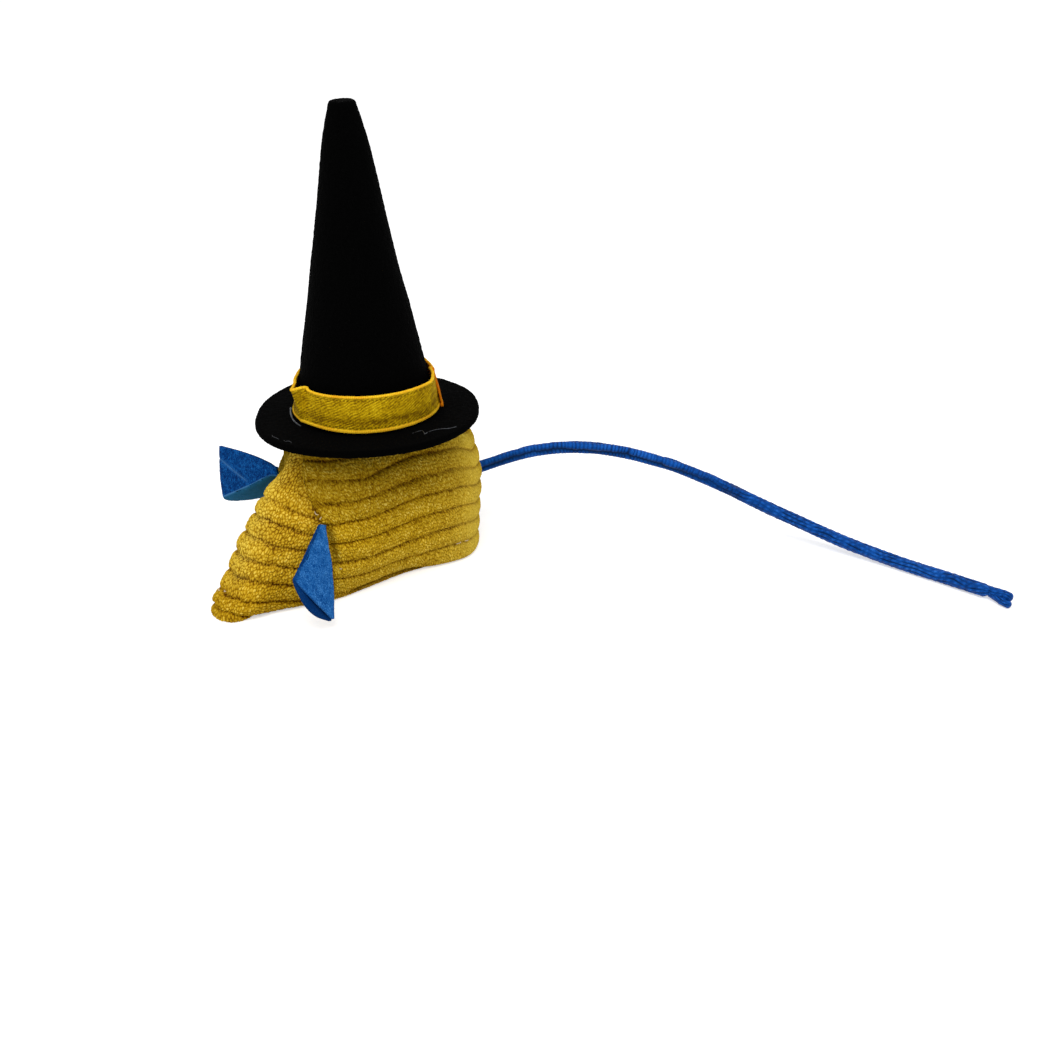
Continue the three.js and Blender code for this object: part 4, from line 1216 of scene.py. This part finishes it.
# %% Finish of the ribbon
ribbon_finish, maker = new_finish("gold_twill_ribbon")
twill, selvedge, hole = maker.field("weave")
threads = maker.fibres(3600.0, 3.0)
patches = maker.fibres(260.0)
light = (0.06 + 0.6 * twill + 1.0 * (threads - 0.5) + 0.7 * (patches - 0.5)).clamp()
middle = light.through((0.0, tone(112, 82, 0)), (0.5, tone(192, 154, 4)), (1.0, tone(246, 214, 36)))
colour = selvedge.mix(middle, light.mix(tone(214, 116, 0), tone(255, 222, 46)))
surface(
    maker, Base_Color=(hole * 0.65).clamp().mix(colour, tone(64, 42, 0)), Roughness=0.75,
    Specular_IOR_Level=0.06, Normal=threads.bump(0.35, 0.0001),
)

# %% The ribbon from its two sides
half_thick = (BAND_THICK / 2 - 0.1) * np.ones(weave_height.shape)
half_thick[:, [0, -1]] = 0.05
ribbon_rise = normals_of(ribbon_middle) * (half_thick + weave_height)[..., None]
near_edge = 1 - ramp(0.15, 0.45, np.minimum(ribbon_across, BAND_WIDTH - ribbon_across))
near_edge = (near_edge * ramp(8, 13, ribbon_along))[..., None]
# Painted shade: the inner side takes the dark orange end of the selvedge colour.
inner_field = (weave_field * (0.2, 0, 0) + (-0.1, 1, 0)) * (1 - near_edge) + weave_field * near_edge
ribbon_sides = [(ribbon_middle + way * ribbon_rise).reshape(-1, 3) for way in (1, -1)]
ribbon = cloth_piece(
    "ribbon_band", seated(np.concatenate(ribbon_sides)), sheet_faces(*weave_height.shape), ribbon_finish,
    {"weave": np.concatenate([inner_field, weave_field])},
)
fitted(ribbon, "body", "hat_band")
ribbon_along.max() * MM

# %% [markdown]
# ## Loose ends
# Handwork leaves traces: pale stitches that show between the pile, and thin strings of dried glue on the
# brim. Both are short tubes on routes that lie on the cloth, so the tube maker of the cord serves for
# them too.

# %% Stitches that show through the pile
THREAD_RADIUS, THREAD_DEPTH, THREAD_BOW = 0.1, 0.32, 0.42
# Each stitch goes from one (place, height) on the body's form to another.
STITCHES = [
    ((2.95, 23.8), (3.03, 23.0)), ((3.08, 22.5), (3.02, 22.0)), ((-0.34, 6.7), (-0.22, 6.5)),
    ((0.1, 7.1), (0.2, 6.9)), ((5.68, 5.6), (5.76, 5.8)), ((5.84, 5.5), (5.9, 5.4)),
    ((3.2, 9.6), (3.25, 9.3)), ((12.6, 8.0), (12.7, 8.5)), ((10.2, 6.0), (10.3, 5.6)),
]
thread_finish, maker = new_finish("pale_sewing_thread")
thread_colour = maker.fibres(5000.0).mix(tone(150, 118, 70), tone(244, 232, 204))
surface(maker, Base_Color=thread_colour, Roughness=0.7, Specular_IOR_Level=0.2)

tubes = []
for start, end in STITCHES:
    places, heights = np.linspace(start, end, 5).T
    near = form(places % AROUND, heights)
    outward = (near - (0, -6, 0)) * (1, 1, 0)
    outward /= np.linalg.norm(outward, axis=1, keepdims=True)
    bow = np.sin(np.linspace(0, np.pi, 5))[:, None]
    line, length = smooth_route(near + outward * (THREAD_BOW * bow - THREAD_DEPTH), 0.08)
    tubes.append(cord_tube(line, rounded(length, len(line), THREAD_RADIUS, 0.15, 0.15), sides=10))
seam_threads = cloth_piece("seam_threads", *joined(tubes)[:2], thread_finish)
fitted(seam_threads, "body")

# %% Dried glue on the brim
GLUE_HEIGHT = 2.14
# Each string has its radius and its route as (angle, distance) round the hat's axis.
GLUE = [
    (0.2, [(219.6, 19.3), (230, 18.8), (243, 18.5), (252, 18.4), (261, 18.3)]),
    (0.1, [(351.7, 21.2), (356, 21.0), (359.3, 21.4), (358.5, 22.4), (357.1, 23.4), (0.2, 23.1)]),
    (0.09, [(0.2, 23.1), (4.7, 23.3), (8.4, 24.1), (11.3, 25.5), (15.6, 26.6)]),
    (0.06, [(263, 26.4), (265, 26.7), (268, 26.5), (270, 26.6)]),
    (0.06, [(273, 26.2), (275, 26.5), (276, 25.9), (279, 26.1)]),
]
glue_finish, maker = new_finish("dried_glue")
glue_colour = maker.fibres(1500.0, 3.0).mix(tone(4, 5, 6), tone(70, 74, 80))
surface(maker, Base_Color=glue_colour, Roughness=0.35, Specular_IOR_Level=0.3)

tubes = []
for thick, route in GLUE:
    turn, radius = np.radians([at for at, _ in route]), np.array([away for _, away in route])
    spots = np.stack([radius * np.cos(turn), radius * np.sin(turn), 0 * turn + GLUE_HEIGHT], 1)
    line, length = smooth_route(spots, 0.12)
    uneven = rounded(length, len(line), thick, 0.5, 0.5) * (1 + 0.45 * drift(line, 0.8, 171))
    tubes.append(cord_tube(line, uneven, sides=12))
glue_points, glue_faces, _ = joined(tubes)
glue = cloth_piece("glue_traces", seated(glue_points), glue_faces, glue_finish)
fitted(glue, "body")

# %% [markdown]
# ## Floor and light
# A pale floor and a soft light at a plain level let each colour show about as it is written. The floor
# glows a little for the camera alone, so that it reads as white paper, and it still takes the toy's
# shadow. Far from the lamps it glows more, so the paper stays white up to the horizon.

# %% Floor
FLOOR_HALF = 4000

floor_finish, maker = new_finish("white_paper")
paper = maker.fibres(300.0).mix(tone(236, 236, 236), tone(240, 240, 240))
place = maker.node("ShaderNodeTexCoord", output="Object")
away = maker.node("ShaderNodeVectorMath", {"operation": "LENGTH"}, {0: place}, "Value")
level = maker.node("ShaderNodeMapRange", None, {
    "Value": away, "From Min": 0.35, "From Max": 0.9, "To Min": 0.5, "To Max": 0.62})
glow = maker.looked_at().mix((0, 0, 0, 1), level)
surface(
    maker, Base_Color=paper, Roughness=0.95, Specular_IOR_Level=0.0, Emission_Color=glow,
    Emission_Strength=1.0,
)
floor_corners = [(x * FLOOR_HALF, y * FLOOR_HALF, 0) for x, y in ((-1, -1), (1, -1), (1, 1), (-1, 1))]
cloth_piece("floor", floor_corners, [(0, 1, 2, 3)], floor_finish)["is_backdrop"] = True

# %% Light: an even white surrounding and two large soft lamps
FILL_LIGHT = 0.45

world = bpy.data.worlds.new("studio")
scene.world = world
world.use_nodes = True
world.node_tree.nodes.clear()
maker = Strand(world.node_tree)
strength = FILL_LIGHT + (1 - FILL_LIGHT) * maker.looked_at()
backdrop = maker.node("ShaderNodeBackground", None, {"Color": (1, 1, 1, 1), "Strength": strength})
maker.node("ShaderNodeOutputWorld", None, {"Surface": backdrop})


def soft_lamp(name, direction, distance, size, level):
    """A square lamp that gives a surface facing it this share of its colour."""
    away = np.array(direction, float)
    away /= np.linalg.norm(away)
    light = bpy.data.lights.new(name, "AREA")
    light.size = size
    light.energy = level * math.pi**2 * distance**2
    lamp = bpy.data.objects.new(name, light)
    lamp.location = away * distance
    lamp.rotation_mode = "QUATERNION"
    lamp.rotation_quaternion = Vector(-away).to_track_quat("-Z", "Y")
    scene.collection.objects.link(lamp)
    print("%s: %.2f W" % (name, light.energy))


soft_lamp("front_lamp", (0.35, -0.75, 1.5), distance=0.9, size=0.6, level=0.55)
soft_lamp("side_lamp", (1.0, -0.1, 1.1), distance=1.0, size=0.8, level=0.25)

# %% [markdown]
# ## Sizes
# The last step prints the two sizes side by side, the imported model's and the dressed toy's.

# %% Sizes and finish
dressed_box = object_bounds()
for label, (low, high) in (("packed", cad_box), ("dressed", dressed_box)):
    print(label, [round(v / MM, 1) for v in low], [round(v / MM, 1) for v in high])
